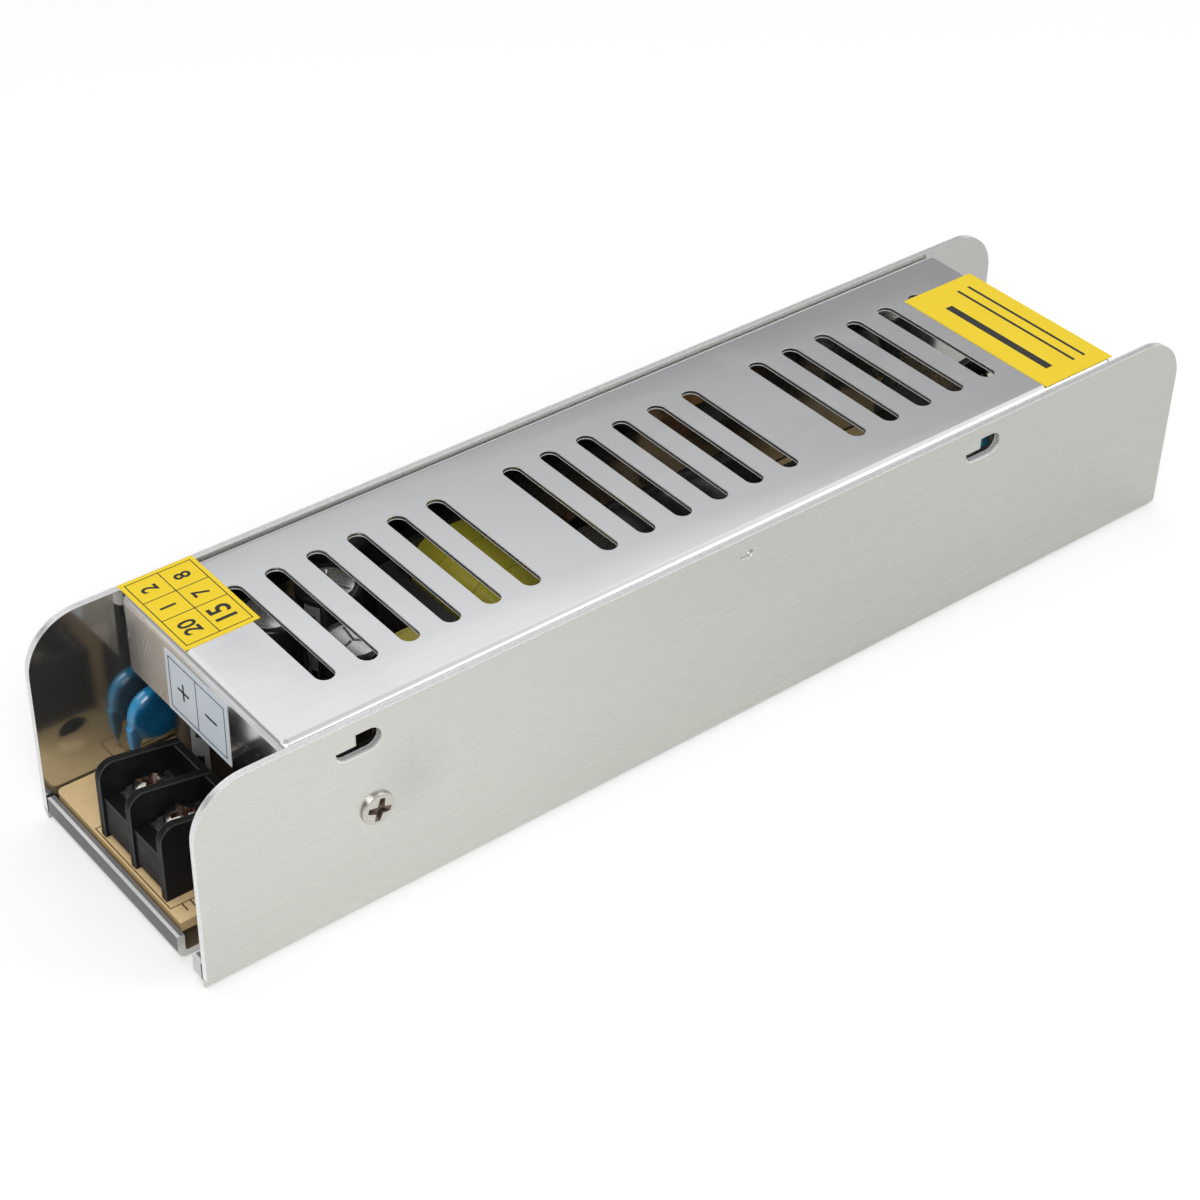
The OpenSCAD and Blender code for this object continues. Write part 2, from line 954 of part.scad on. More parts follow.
module bulk_capacitor_sleeve() {
    color("black")
        at_bulk()
            capacitor_sleeve(bulk_d, bulk_l);
}

module bulk_capacitor_can() {
    color("silver")
        at_bulk()
            capacitor_can(bulk_d, bulk_l);
}

fin_t = 1;
fin_reach = 3.4;

module heatsink() {
    fin_pitch = (heatsink_l - fin_t) / (fin_count - 1);
    color("black")
        translate([heatsink_x0, heatsink_y - heatsink_t, board_z]) {
            cube([heatsink_l, heatsink_t, heatsink_h]);
            for (k = [0:fin_count - 1])
                translate([k * fin_pitch, -fin_reach, 0])
                    cube([fin_t, fin_reach + eps, heatsink_h]);
        }
}

module switching_transistor() {
    lead_h = 3;
    color("darkslategray")
        translate([transistor_x, heatsink_y, board_z])
            power_package(lead_h);
}

module controller_chip() {
    pins = 4;
    pin_pitch = 2.54;
    stand = 0.6;
    color("dimgray")
        translate([chip_x, chip_y, board_z]) {
            translate([-chip_l / 2, -chip_w / 2, stand])
                cube([chip_l, chip_w, chip_h]);
            for (k = [0:pins - 1], s = [-1, 1])
                translate([(k - (pins - 1) / 2) * pin_pitch, s * chip_w / 2, (stand + 1.6) / 2])
                    cube([0.6, 0.8, stand + 1.6], center = true);
        }
}

choke_leg = 4;
choke_h = 14;
choke_coil_t = 2.4;

module choke_core() {
    color("dimgray")
        translate([choke_x - choke_w / 2, choke_y - choke_l / 2,
                   board_z + choke_coil_t])
            difference() {
                cube([choke_w, choke_l, choke_leg]);
                translate([choke_leg, choke_leg, -1])
                    cube([choke_w - 2 * choke_leg, choke_l - 2 * choke_leg, choke_leg + 2]);
            }
}

module choke_winding() {
    coil_d = choke_leg * sqrt(2) + 2 * choke_coil_t - 3;
    color("darkgoldenrod")
        for (s = [-1, 1])
            translate([choke_x + s * (choke_w - choke_leg) / 2, choke_y,
                       board_z + choke_coil_t + choke_leg / 2])
                difference() {
                    along_y(choke_l - 2 * choke_leg - 1)
                        round_rect(choke_leg + 2 * 1.4, choke_leg + 2 * choke_coil_t, 1.4);
                    cube([choke_leg, choke_l, choke_leg], center = true);
                }
}

module film_capacitor() {
    color("khaki")
        translate([film_x, film_y, board_z])
            linear_extrude(film_h)
                round_rect(film_l, film_w, 0.6);
}

module bridge_heatsink() {
    foot = 4;
    color("silver")
        translate([bridge_x, bridge_y, board_z]) {
            cube(bridge_plate);
            cube([foot, bridge_plate[1], 1.2]);
        }
}

module bridge_rectifier() {
    lead_h = 3;
    color("black")
        translate([bridge_x - bridge_body[0], bridge_y + bridge_side, board_z]) {
            translate([0, 0, lead_h])
                cube(bridge_body);
            for (k = [0:3])
                translate([1.4, 1.5 + k * 4, 0])
                    cube([0.8, 1, lead_h + eps]);
        }
}

module varistor() {
    color("dodgerblue")
        translate([varistor_x, varistor_y, board_z])
            leaded_disc(varistor_d, varistor_t, 4, 7.5);
}

module thermistor() {
    color("darkslategray")
        translate([thermistor_x, thermistor_y, board_z])
            leaded_disc(thermistor_d, thermistor_t, 3.5, 7.5);
}

fuse_y = -14;
fuse_l = 20;
fuse_d = 5;
fuse_cap_l = 5;
fuse_cap_t = 0.2;

module at_fuse() {
    translate([fuse_x, fuse_y, board_z + 1 + fuse_d / 2])
        rotate([-90, 0, 0])
            children();
}

module fuse_tube() {
    color("azure", 0.5)
        at_fuse()
            translate([0, 0, 0.6])
                cylinder(h = fuse_l - 1.2, d = fuse_d - 2 * fuse_cap_t);
}

module fuse_caps() {
    color("silver")
        at_fuse()
            for (z = [0, fuse_l])
                translate([0, 0, z])
                    mirror([0, 0, z > 0 ? 1 : 0]) {
                        difference() {
                            cylinder(h = fuse_cap_l, d = fuse_d);
                            translate([0, 0, 0.6])
                                cylinder(h = fuse_cap_l, d = fuse_d - 2 * fuse_cap_t);
                        }
                        translate([-0.4, fuse_d / 2 - 0.1, 1])
                            cube([0.8, 1.1, 2]);
                    }
}

module small_resistors() {
    body_d = 2.4;
    body_l = 6;
    lead_d = 0.6;
    stand = 0.8;
    lead_y = body_l / 2 + 0.8;
    axis_z = stand + body_d / 2;
    color("tan")
        for (k = [0:resistor_count - 1])
            translate([resistor_x + k * resistor_pitch, resistor_y, board_z]) {
                translate([0, 0, axis_z])
                    rotate([90, 0, 0]) {
                        cylinder(h = body_l, d = body_d, center = true);
                        cylinder(h = 2 * lead_y, d = lead_d, center = true);
                    }
                for (s = [-1, 1])
                    translate([0, s * (lead_y - lead_d / 2), 0])
                        cylinder(h = axis_z, d = lead_d);
            }
}

// ---------- stickers ----------

date_label_size = [12.2, 18.2];
date_label_x = -cover_x + 0.5;
date_label_y = half_w - 0.3 - date_label_size[1];
cover_label_size = [15.2, 32.6];
terminal_label_size = [16.2, 10.7];

module date_label() {
    color("gold")
        translate([date_label_x, date_label_y, case_h])
            cube([date_label_size[0], date_label_size[1], label_t]);
}

module cover_label() {
    color("gold")
        translate([cover_x - 0.2 - cover_label_size[0], 0.55 - cover_y, case_h])
            cube([cover_label_size[0], cover_label_size[1], label_t]);
}

module terminal_label() {
    color("aliceblue")
        translate([-cover_x - label_t, -7.3, case_h - flap_h + 0.1])
            cube([label_t, terminal_label_size[0], terminal_label_size[1]]);
}

// ---------- pieces ----------

chassis();
cover();
insulation_sheet();
circuit_board();
board_screws();
output_block();
output_contacts();
output_clamp(0);  // output_clamp_1
output_clamp(1);  // output_clamp_2
output_screw(0);  // output_screw_1
output_screw(1);  // output_screw_2
input_block();
input_contacts();
input_clamp(0);  // input_clamp_1
input_clamp(1);  // input_clamp_2
input_clamp(2);  // input_clamp_3
input_screw(0);  // input_screw_1
input_screw(1);  // input_screw_2
input_screw(2);  // input_screw_3
clamp_screw();
clamp_nut();
rectifier();
rectifier_pad();
output_capacitor_sleeves();
output_capacitor_cans();
disc_capacitor();
inductor_core();
inductor_winding();
transformer_core();
transformer_bobbin();
transformer_winding();
bulk_capacitor_sleeve();
bulk_capacitor_can();
heatsink();
switching_transistor();
controller_chip();
choke_core();
choke_winding();
film_capacitor();
bridge_rectifier();
bridge_heatsink();
varistor();
thermistor();
fuse_tube();
fuse_caps();
small_resistors();
date_label();
cover_label();
terminal_label();
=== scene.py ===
"""Looks of a mesh case switching power supply, built round its CAD frame.

Lengths are metres, +Z is up, and the output terminals are at -X.
"""

import math

import bmesh
import bpy
from mathutils import Matrix, Vector


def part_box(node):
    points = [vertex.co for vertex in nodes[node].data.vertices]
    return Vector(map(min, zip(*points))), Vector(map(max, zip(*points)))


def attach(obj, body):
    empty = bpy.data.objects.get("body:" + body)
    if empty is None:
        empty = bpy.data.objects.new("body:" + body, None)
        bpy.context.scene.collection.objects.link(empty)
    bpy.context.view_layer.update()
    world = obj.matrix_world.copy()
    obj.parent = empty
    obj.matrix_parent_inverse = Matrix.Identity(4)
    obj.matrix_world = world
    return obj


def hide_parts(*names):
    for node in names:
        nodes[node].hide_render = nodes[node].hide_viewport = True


MM = 0.001
QUARTER = math.pi / 2
SHEET = 1.2 * MM
COVER_THICK = 0.8 * MM
THREAD_D = 2.9 * MM
THREAD_PITCH = 0.5 * MM
SCREW_HOLE_R = 1.55 * MM
PRINT_LIFT = 0.01 * MM
LATCH_LENGTH = 7.4 * MM
LATCH_HEIGHT = 3.8 * MM
POLES = {"output": 2, "input": 3}

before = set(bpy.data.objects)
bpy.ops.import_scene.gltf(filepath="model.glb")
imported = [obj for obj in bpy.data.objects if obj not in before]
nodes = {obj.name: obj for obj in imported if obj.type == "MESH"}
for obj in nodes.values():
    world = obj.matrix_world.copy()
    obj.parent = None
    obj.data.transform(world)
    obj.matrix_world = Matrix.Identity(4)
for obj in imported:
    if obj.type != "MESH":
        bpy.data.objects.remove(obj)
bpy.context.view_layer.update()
cover_lo, cover_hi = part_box("cover")
case_lo, case_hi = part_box("chassis")
board_lo, board_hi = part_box("circuit_board")
INNER_Y = case_hi.y - SHEET


# ---------- shader nodes ----------


def set_socket(socket, value):
    """Links the socket to another socket, or gives it a plain value."""
    if isinstance(value, bpy.types.NodeSocket):
        socket.id_data.links.new(value, socket)
    elif socket.type == "RGBA" and len(value) == 3:
        socket.default_value = (*value, 1)
    else:
        socket.default_value = value


def tree_of(*values):
    """The node tree of the first socket among the values."""
    return next(value.id_data for value in values if isinstance(value, bpy.types.NodeSocket))


def node(tree, kind, values=None, **settings):
    made = tree.nodes.new("ShaderNode" + kind)
    for name, value in settings.items():
        setattr(made, name, value)
    for key, value in (values or {}).items():
        set_socket(made.inputs[key], value)
    return made


def calc(operation, a, b=0.0, c=0.0):
    return node(tree_of(a, b, c), "Math", {0: a, 1: b, 2: c}, operation=operation).outputs[0]


def both(a, b):
    return calc("MULTIPLY", a, b)


def either(a, b):
    return calc("MAXIMUM", a, b)


def minus(a, b):
    return calc("SUBTRACT", a, b)


def plus(a, b):
    return calc("ADD", a, b)


def absolute(value):
    return calc("ABSOLUTE", value)


def outside(mask):
    """1 where the mask is 0."""
    return minus(1.0, mask)


def above(value, limit):
    return calc("GREATER_THAN", value, limit)


def below(value, limit):
    return calc("LESS_THAN", value, limit)


def spread(value, low, high, to_low=0.0, to_high=1.0):
    """Maps low to to_low and high to to_high, and keeps within them."""
    values = {"Value": value, "From Min": low, "From Max": high}
    values.update({"To Min": to_low, "To Max": to_high})
    return node(tree_of(value), "MapRange", values).outputs[0]


def mix(factor, a, b):
    """Between two colours."""
    values = {0: factor, 6: a, 7: b}
    return node(tree_of(factor, a, b), "Mix", values, data_type="RGBA").outputs[2]


def blend(factor, a, b):
    """Between two numbers."""
    return node(tree_of(factor), "Mix", {0: factor, 2: a, 3: b}).outputs[0]


def ramp(value, stops):
    """Grey tones between stops of (position, tone)."""
    made = node(tree_of(value), "ValToRGB", {0: value})
    elements = made.color_ramp.elements
    elements.remove(elements[1])
    elements[0].position, tone = stops[0]
    elements[0].color = (tone, tone, tone, 1)
    for position, tone in stops[1:]:
        elements.new(position).color = (tone, tone, tone, 1)
    return made.outputs[0]


def near(value, target, reach):
    """1 where the value is within reach of the target, 0 elsewhere."""
    return below(absolute(minus(value, target)), reach)


def stretched(place, size):
    """The place divided by a size along each axis, so that noise gets that grain."""
    return node(tree_of(place), "VectorMath", {0: place, 1: size}, operation="DIVIDE").outputs[0]


def distance(place, point):
    """How far the place is from a point, in metres."""
    values = {0: place, 1: point}
    return node(tree_of(place), "VectorMath", values, operation="DISTANCE").outputs["Value"]


def cloud(place, size, detail=2.0, roughness=0.5):
    """Soft noise whose blots have the given size in metres."""
    if isinstance(size, float):
        size = (size, size, size)
    values = {"Vector": stretched(place, size), "Scale": 1.0}
    values.update({"Detail": detail, "Roughness": roughness})
    return node(tree_of(place), "TexNoise", values).outputs["Fac"]


def parts_of(vector):
    return node(tree_of(vector), "SeparateXYZ", {0: vector}).outputs


def new_group(name, inputs, outputs):
    group = bpy.data.node_groups.new(name, "ShaderNodeTree")
    for label, kind, value in inputs:
        socket = group.interface.new_socket(
            label, in_out="INPUT", socket_type="NodeSocket" + kind
        )
        if value is not None:
            socket.default_value = value
    for label, kind in outputs:
        group.interface.new_socket(
            label, in_out="OUTPUT", socket_type="NodeSocket" + kind
        )
    ends = group.nodes.new("NodeGroupInput"), group.nodes.new("NodeGroupOutput")
    return group, ends[0].outputs, ends[1].inputs


def use_group(tree, group, values):
    made = tree.nodes.new("ShaderNodeGroup")
    made.node_tree = group
    for key, value in values.items():
        set_socket(made.inputs[key], value)
    return made.outputs


def rolled_grain_group():
    """Fine lines along the sheet, with the clouding that rolling leaves."""
    inputs = [("Place", "Vector", None), ("Line Length", "Float", 0.012)]
    inputs.append(("Line Width", "Float", 0.00012))
    outputs = [("Lines", "Float"), ("Clouding", "Float"), ("Speckle", "Float")]
    tree, given, out = new_group("Rolled grain", inputs, outputs)
    width = given["Line Width"]
    size = node(tree, "CombineXYZ", {0: given["Line Length"], 1: width, 2: width})
    tree.links.new(cloud(given["Place"], size.outputs[0], 3.0), out["Lines"])
    soft = cloud(given["Place"], (0.03, 0.012, 0.012), 3.0)
    tree.links.new(soft, out["Clouding"])
    tree.links.new(cloud(given["Place"], 0.0003, 2.0), out["Speckle"])
    return tree


def handling_marks_group():
    """Short hairlines in two directions, and smudges from fingers."""
    outputs = [("Scratches", "Float"), ("Smudges", "Float")]
    tree, given, out = new_group("Handling marks", [("Place", "Vector", None)], outputs)
    lines = None
    for angle, size in ((0.5, (0.006, 0.0001, 0.0001)), (2.0, (0.004, 0.00008, 0.00008))):
        values = {"Vector": given["Place"], "Angle": angle}
        turned = node(tree, "VectorRotate", values, rotation_type="AXIS_ANGLE")
        turned.inputs["Axis"].default_value = (0.3, 0.5, 0.8)
        found = spread(cloud(turned.outputs[0], size, 1.0), 0.74, 0.80)
        lines = found if lines is None else either(lines, found)
    sparse = spread(cloud(given["Place"], 0.009, 1.0), 0.52, 0.66)
    tree.links.new(both(lines, sparse), out["Scratches"])
    smudge = spread(cloud(given["Place"], 0.014, 4.0, 0.6), 0.5, 0.7)
    tree.links.new(smudge, out["Smudges"])
    return tree


def moulding_grain_group():
    """The fine spark texture of a mould, and slow changes of gloss."""
    inputs = [("Place", "Vector", None), ("Size", "Float", 0.00018)]
    outputs = [("Grain", "Float"), ("Gloss", "Float")]
    tree, given, out = new_group("Moulding grain", inputs, outputs)
    size = node(tree, "CombineXYZ", {0: given["Size"], 1: given["Size"], 2: given["Size"]})
    tree.links.new(cloud(given["Place"], size.outputs[0], 2.0), out["Grain"])
    tree.links.new(cloud(given["Place"], 0.004, 3.0), out["Gloss"])
    return tree


def dust_group():
    """Loose specks, denser where faces look up."""
    inputs = [("Place", "Vector", None), ("Normal", "Vector", None)]
    tree, given, out = new_group("Dust", inputs, [("Dust", "Float")])
    specks = node(tree, "TexVoronoi", {"Vector": given["Place"], "Scale": 1400.0})
    dots = spread(specks.outputs["Distance"], 0.16, 0.10)
    sparse = spread(cloud(given["Place"], 0.002, 2.0), 0.55, 0.7)
    up = spread(parts_of(given["Normal"])["Z"], 0.0, 0.8, 0.3, 1.0)
    tree.links.new(both(both(dots, sparse), up), out["Dust"])
    return tree


ROLLED_GRAIN = rolled_grain_group()
HANDLING_MARKS = handling_marks_group()
MOULDING_GRAIN = moulding_grain_group()
DUST = dust_group()


# ---------- materials ----------


class Finish:
    """A material with its Principled shader, its place and its normal at hand."""

    def __init__(self, name, **constants):
        self.material = bpy.data.materials.new(name)
        self.material.use_nodes = True
        self.tree = self.material.node_tree
        self.shader = self.tree.nodes["Principled BSDF"]
        self.place = node(self.tree, "TexCoord").outputs["Object"]
        self.normal = node(self.tree, "NewGeometry").outputs["Normal"]
        for name, value in constants.items():
            label = name.replace("_", " ").title().replace("Ior", "IOR")
            set_socket(self.shader.inputs[label], value)

    def set(self, label, value):
        set_socket(self.shader.inputs[label], value)

    def bump(self, height, depth):
        """Lays a relief over those that are there already."""
        values = {"Height": height, "Distance": depth, "Strength": 1.0}
        made = node(self.tree, "Bump", values)
        normal = self.shader.inputs["Normal"]
        if normal.is_linked:
            self.tree.links.new(normal.links[0].from_socket, made.inputs["Normal"])
        self.tree.links.new(made.outputs["Normal"], normal)

    def ready(self, color, roughness, height=None, depth=0.0):
        """Sets the colour, the roughness and a fine relief, and gives the material."""
        self.set("Base Color", color)
        self.set("Roughness", roughness)
        if height is not None:
            self.bump(height, depth)
        return self.material


def handling(finish):
    """Scratches and smudges of a finish."""
    return use_group(finish.tree, HANDLING_MARKS, {"Place": finish.place})


def grain(finish, length=0.012, width=0.00012):
    values = {"Place": finish.place, "Line Length": length, "Line Width": width}
    return use_group(finish.tree, ROLLED_GRAIN, values)


def sheet_face(finish, color, roughness, length=0.012, width=0.00012):
    """Satin rolled sheet: returns its colour, roughness, bump height and marks."""
    lines = grain(finish, length, width)
    marks = handling(finish)
    shade = tuple(0.95 * c for c in color)
    face = mix(lines["Clouding"], shade, color)
    face = mix(both(marks["Scratches"], 0.35), face, (0.92, 0.92, 0.92))
    rough = spread(lines["Lines"], 0.3, 0.7, roughness - 0.03, roughness + 0.03)
    rough = plus(rough, both(marks["Smudges"], 0.04))
    rough = minus(rough, both(marks["Scratches"], 0.06))
    height = plus(both(lines["Lines"], 0.16), both(lines["Speckle"], 0.05))
    return face, rough, height, lines


def latch_openings(mesh):
    """Left end, middle height and side of each opening, found from the cover's solid tongues."""
    found = []
    for end in (-1, 1):
        for side in (-1, 1):
            tongue = [
                v.co for v in mesh.vertices
                if v.co.y * side > INNER_Y + 0.3 * MM and v.co.x * end > 10 * MM
            ]
            right = max(co.x for co in tongue) + 0.2 * MM
            middle = (min(co.z for co in tongue) + max(co.z for co in tongue)) / 2 + 0.2 * MM
            found.append((right - LATCH_LENGTH, middle, side))
    return found


def painted_highlights_under_latches(at):
    """A thin mask along the lower outer edge of each latch opening, where a highlight is painted.
    """
    r = LATCH_HEIGHT / 2
    rims = None
    for left, middle, side in latch_openings(nodes["cover"].data):
        off = absolute(minus(at["X"], left + LATCH_LENGTH / 2))
        off = either(minus(off, LATCH_LENGTH / 2 - r), 0.0)
        drop = minus(at["Z"], middle)
        away = calc("SQRT", plus(both(off, off), both(drop, drop)))
        rim = both(near(away, r + 0.02 * MM, 0.11 * MM), below(drop, -0.5 * r))
        rim = both(rim, near(at["Y"], side * case_hi.y, 0.4 * MM))
        rims = rim if rims is None else either(rims, rim)
    return rims


def painted_screw_reflection(finish):
    """A soft round patch beside the clamp screw, where the screw's reflection in the satin wall is
    painted darker.
    """
    lo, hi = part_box("clamp_screw")
    x, z = (lo.x + hi.x) / 2 + 5.4 * MM, (lo.z + hi.z) / 2 + 2.6 * MM
    away = distance(finish.place, Vector((x, case_lo.y, z)))
    return spread(away, 1.5 * MM, 8.5 * MM, 1.0, 0.0)


def press_dimple(finish, inner):
    """A round dimple pressed into the walls' inner faces beside the output block."""
    away = distance(finish.place, Vector((case_lo.x + 5.7 * MM, INNER_Y, 13 * MM)))
    round_off = outside(calc("POWER", spread(away, 0, 3.3 * MM), 2.0))
    finish.bump(both(calc("POWER", round_off, 2.0), inner), 0.00026)


WALL_TONE = (0.625, 0.63, 0.59)


def chassis_finish():
    """Outer faces are satin, inner faces nearly mirror-bright and cut edges pale and ragged;
    painted highlight lines run along the cut edges and under the latch openings, the end lips
    carry painted shade, and a painted reflection of the clamp screw darkens the wall beside it.
    """
    finish = Finish("chassis_sheet")
    face, rough, height, lines = sheet_face(finish, WALL_TONE, 0.27, 0.02, 0.00007)
    at, facing = parts_of(finish.place), parts_of(finish.normal)
    side = absolute(at["Y"])
    # masks: inner faces, cut edges of the walls, end lips with their tops
    inner = below(side, INNER_Y + 0.05 * MM)
    wall = both(above(side, INNER_Y + 0.05 * MM), above(at["Z"], 1.7 * MM))
    wall = both(wall, below(absolute(facing["Y"]), 0.6))
    end = above(absolute(at["X"]), case_hi.x - 0.1 * MM)
    painted_shade_lip = both(both(end, inner), above(absolute(facing["X"]), 0.9))
    beside_notch = both(at["X"], at["Y"])
    painted_shade_lip = both(painted_shade_lip, below(beside_notch, case_hi.x * 18 * MM))
    lip_top = both(above(facing["Z"], 0.7), above(at["Z"], 2 * MM))
    lip_top = both(lip_top, inner)
    edge = either(wall, lip_top)
    # rim: bands along both borders of each cut edge; made dull below, they show the pale edge
    # colour as painted highlight lines
    rim = minus(side, INNER_Y + 0.6 * MM)
    rim = both(edge, above(absolute(rim), 0.42 * MM))
    # colours
    # painted reflection: the wall goes darker in a soft round patch beside the clamp screw
    face = mix(both(painted_screw_reflection(finish), 0.5), face, (0.49, 0.495, 0.475))
    face = mix(both(inner, 0.8), face, (0.60, 0.59, 0.57))
    smear = cloud(finish.place, (0.05, 0.0007, 0.0007), 2.0)
    face = mix(both(both(inner, smear), 0.35), face, (0.42, 0.41, 0.40))
    # painted shade: the end lips, bent from the same bright sheet, are coloured near black
    face = mix(painted_shade_lip, face, (0.075, 0.078, 0.085))
    # painted reflection: the back part of each lip's top edge is darkened, as if it mirrored the
    # dark inside
    painted_dark_lip_back = both(lip_top, below(absolute(at["X"]), case_hi.x - 0.55 * MM))
    edge_colour = mix(spread(lines["Speckle"], 0.4, 0.62), (0.80, 0.80, 0.81), (0.93, 0.93, 0.93))
    edge_colour = mix(painted_dark_lip_back, edge_colour, (0.22, 0.22, 0.23))
    face = mix(edge, face, edge_colour)
    # painted highlight: a near-white, dull line along the lower outer edge of each latch opening
    latch_highlights = painted_highlights_under_latches(at)
    face = mix(latch_highlights, face, (0.97, 0.97, 0.95))
    # metal, gloss and relief
    dull = either(both(either(rim, latch_highlights), 0.85), both(inner, 0.05))
    punched = both(wall, below(absolute(at["X"]), case_hi.x - 20 * MM))
    punched = both(punched, below(at["Z"], case_hi.z - 2 * MM))
    dull = either(dull, both(punched, 0.5))
    finish.set("Metallic", outside(dull))
    rough = blend(inner, rough, spread(lines["Lines"], 0.3, 0.7, 0.10, 0.15))
    height = both(height, outside(both(inner, 0.8)))
    height = plus(height, both(both(edge, lines["Speckle"]), 1.2))
    material = finish.ready(face, blend(edge, rough, 0.3), height, 0.000006)
    press_dimple(finish, inner)
    return material


def cover_finish():
    """Brushed bright cover: slots whose rims carry painted highlight lines, and a flap scratched
    by handling, with a brown-grey painted reflection across it.
    """
    finish = Finish("cover_sheet")
    face, rough, height, _ = sheet_face(finish, (0.84, 0.845, 0.86), 0.18)
    at, facing = parts_of(finish.place), parts_of(finish.normal)
    top = cover_hi.z
    # masks: walls of the slots with painted highlight lines along their borders, lower edges,
    # flaps
    slots = below(absolute(facing["Z"]), 0.5)
    slots = both(slots, above(at["Z"], top - 0.82 * MM))
    slots = both(slots, below(absolute(at["Y"]), 14 * MM))
    # painted highlight: pale lines along the top and bottom borders of each slot wall
    painted_edge_highlight = either(near(at["Z"], top, 0.22 * MM), near(at["Z"], top - COVER_THICK, 0.18 * MM))
    painted_edge_highlight = both(painted_edge_highlight, slots)
    low = both(below(facing["Z"], -0.7), below(at["Z"], top - 5 * MM))
    flap = above(absolute(at["X"]), cover_hi.x - 0.9 * MM)
    flap = both(flap, above(absolute(facing["X"]), 0.8))
    # hairlines and pits of the flaps, and a brown-grey painted reflection across them
    values = {"Vector": finish.place, "Rotation": (math.radians(-24), 0, 0)}
    slant = node(finish.tree, "Mapping", values, vector_type="POINT")
    fine = cloud(slant.outputs["Vector"], (0.0002, 0.00022, 0.012), 2.0)
    hair = both(flap, spread(fine, 0.64, 0.68))
    reflection_zone = spread(at["Y"], -2 * MM, 8 * MM)
    hair = both(hair, spread(at["Y"], 4 * MM, 9 * MM))
    pits = both(flap, spread(cloud(finish.place, 0.0005, 2.0), 0.69, 0.74))
    pits = both(pits, outside(reflection_zone))
    face = mix(flap, face, (0.66, 0.66, 0.67))
    # painted reflection: a brown-grey patch on the flap, fading along Y, made rougher and less
    # metallic
    haze_and_painted_reflection = both(both(flap, reflection_zone), spread(at["Y"], 14 * MM, 20 * MM, 1.0, 0.5))
    face = mix(both(haze_and_painted_reflection, 0.8), face, (0.70, 0.62, 0.52))
    face = mix(both(either(hair, pits), 0.7), face, (0.95, 0.95, 0.95))
    # latch tongues, their undersides painted pale as a highlight
    tongue = above(absolute(at["Y"]), INNER_Y + 0.2 * MM)
    face = mix(tongue, face, WALL_TONE)
    tongue_underside = both(tongue, spread(facing["Z"], -0.2, -0.6))
    edge = either(either(slots, low), tongue_underside)
    # painted highlight: the tongues' downward faces join the pale highlight lines
    painted_edge_highlight = either(painted_edge_highlight, tongue_underside)
    edge_colour = mix(painted_edge_highlight, (0.45, 0.45, 0.45), (0.93, 0.93, 0.94))
    face = mix(edge, face, edge_colour)
    bright = either(both(painted_edge_highlight, 0.95), both(either(hair, pits), 0.6))
    bright = either(bright, both(haze_and_painted_reflection, 0.42))
    finish.set("Metallic", outside(bright))
    rough = blend(flap, rough, plus(0.13, both(haze_and_painted_reflection, 0.14)))
    edge = either(edge, tongue)
    height = both(height, outside(both(flap, 0.7)))
    return finish.ready(face, blend(edge, rough, 0.3), height, 0.000005)


def plain_metal(name, color, roughness, depth=0.0000015, metallic=1.0, pressed=False):
    """Plated metal with fine grain and a few smudges; the walls of pressed grooves are darkened as
    painted shade.
    """
    finish = Finish(name, metallic=metallic)
    lines = grain(finish, 0.0015, 0.0004)
    marks = handling(finish)
    dark = tuple(0.8 * c for c in color)
    face = mix(lines["Clouding"], dark, color)
    if pressed:
        slope = parts_of(finish.normal)["Z"]
        # painted shade: faces that slope between flat and upright are darkened, for the walls of
        # pressed grooves
        walls = both(above(slope, 0.2), below(slope, 0.8))
        face = mix(both(walls, 0.75), face, (0.16, 0.16, 0.16))
    rough = spread(lines["Speckle"], 0.3, 0.7, roughness - 0.05, roughness + 0.06)
    rough = plus(rough, both(marks["Smudges"], 0.06))
    return finish.ready(face, rough, lines["Speckle"], depth)


def moulding(name, color, roughness, grain_size=0.00018, depth=0.000008, dusty=0.35, gloss=0.4):
    """Moulded or dipped plastic: fine grain, uneven gloss and a little dust."""
    finish = Finish(name, specular_ior_level=gloss)
    texture = use_group(finish.tree, MOULDING_GRAIN, {"Place": finish.place, "Size": grain_size})
    place = {"Place": finish.place, "Normal": finish.normal}
    dust = use_group(finish.tree, DUST, place)["Dust"]
    light = tuple(min(1, 1.25 * c + 0.006) for c in color)
    base = mix(texture["Gloss"], color, light)
    base = mix(both(dust, dusty), base, (0.5, 0.49, 0.46))
    rough = spread(texture["Gloss"], 0.3, 0.7, roughness - 0.06, roughness + 0.08)
    return finish.ready(base, rough, texture["Grain"], depth)


def laminate_finish():
    """Tan phenolic board with faint paper fibres."""
    finish = Finish("board_laminate", specular_ior_level=0.45)
    fibres = cloud(finish.place, (0.0025, 0.0006, 0.001), 4.0, 0.6)
    tone = cloud(finish.place, 0.02, 2.0)
    base = mix(tone, (0.88, 0.63, 0.32), (0.95, 0.72, 0.40))
    base = mix(spread(fibres, 0.55, 0.75), base, (0.80, 0.56, 0.28))
    side = below(absolute(parts_of(finish.normal)["Z"]), 0.5)
    base = mix(side, base, (0.60, 0.42, 0.20))
    return finish.ready(base, spread(fibres, 0.3, 0.7, 0.30, 0.42), fibres, 0.000006)


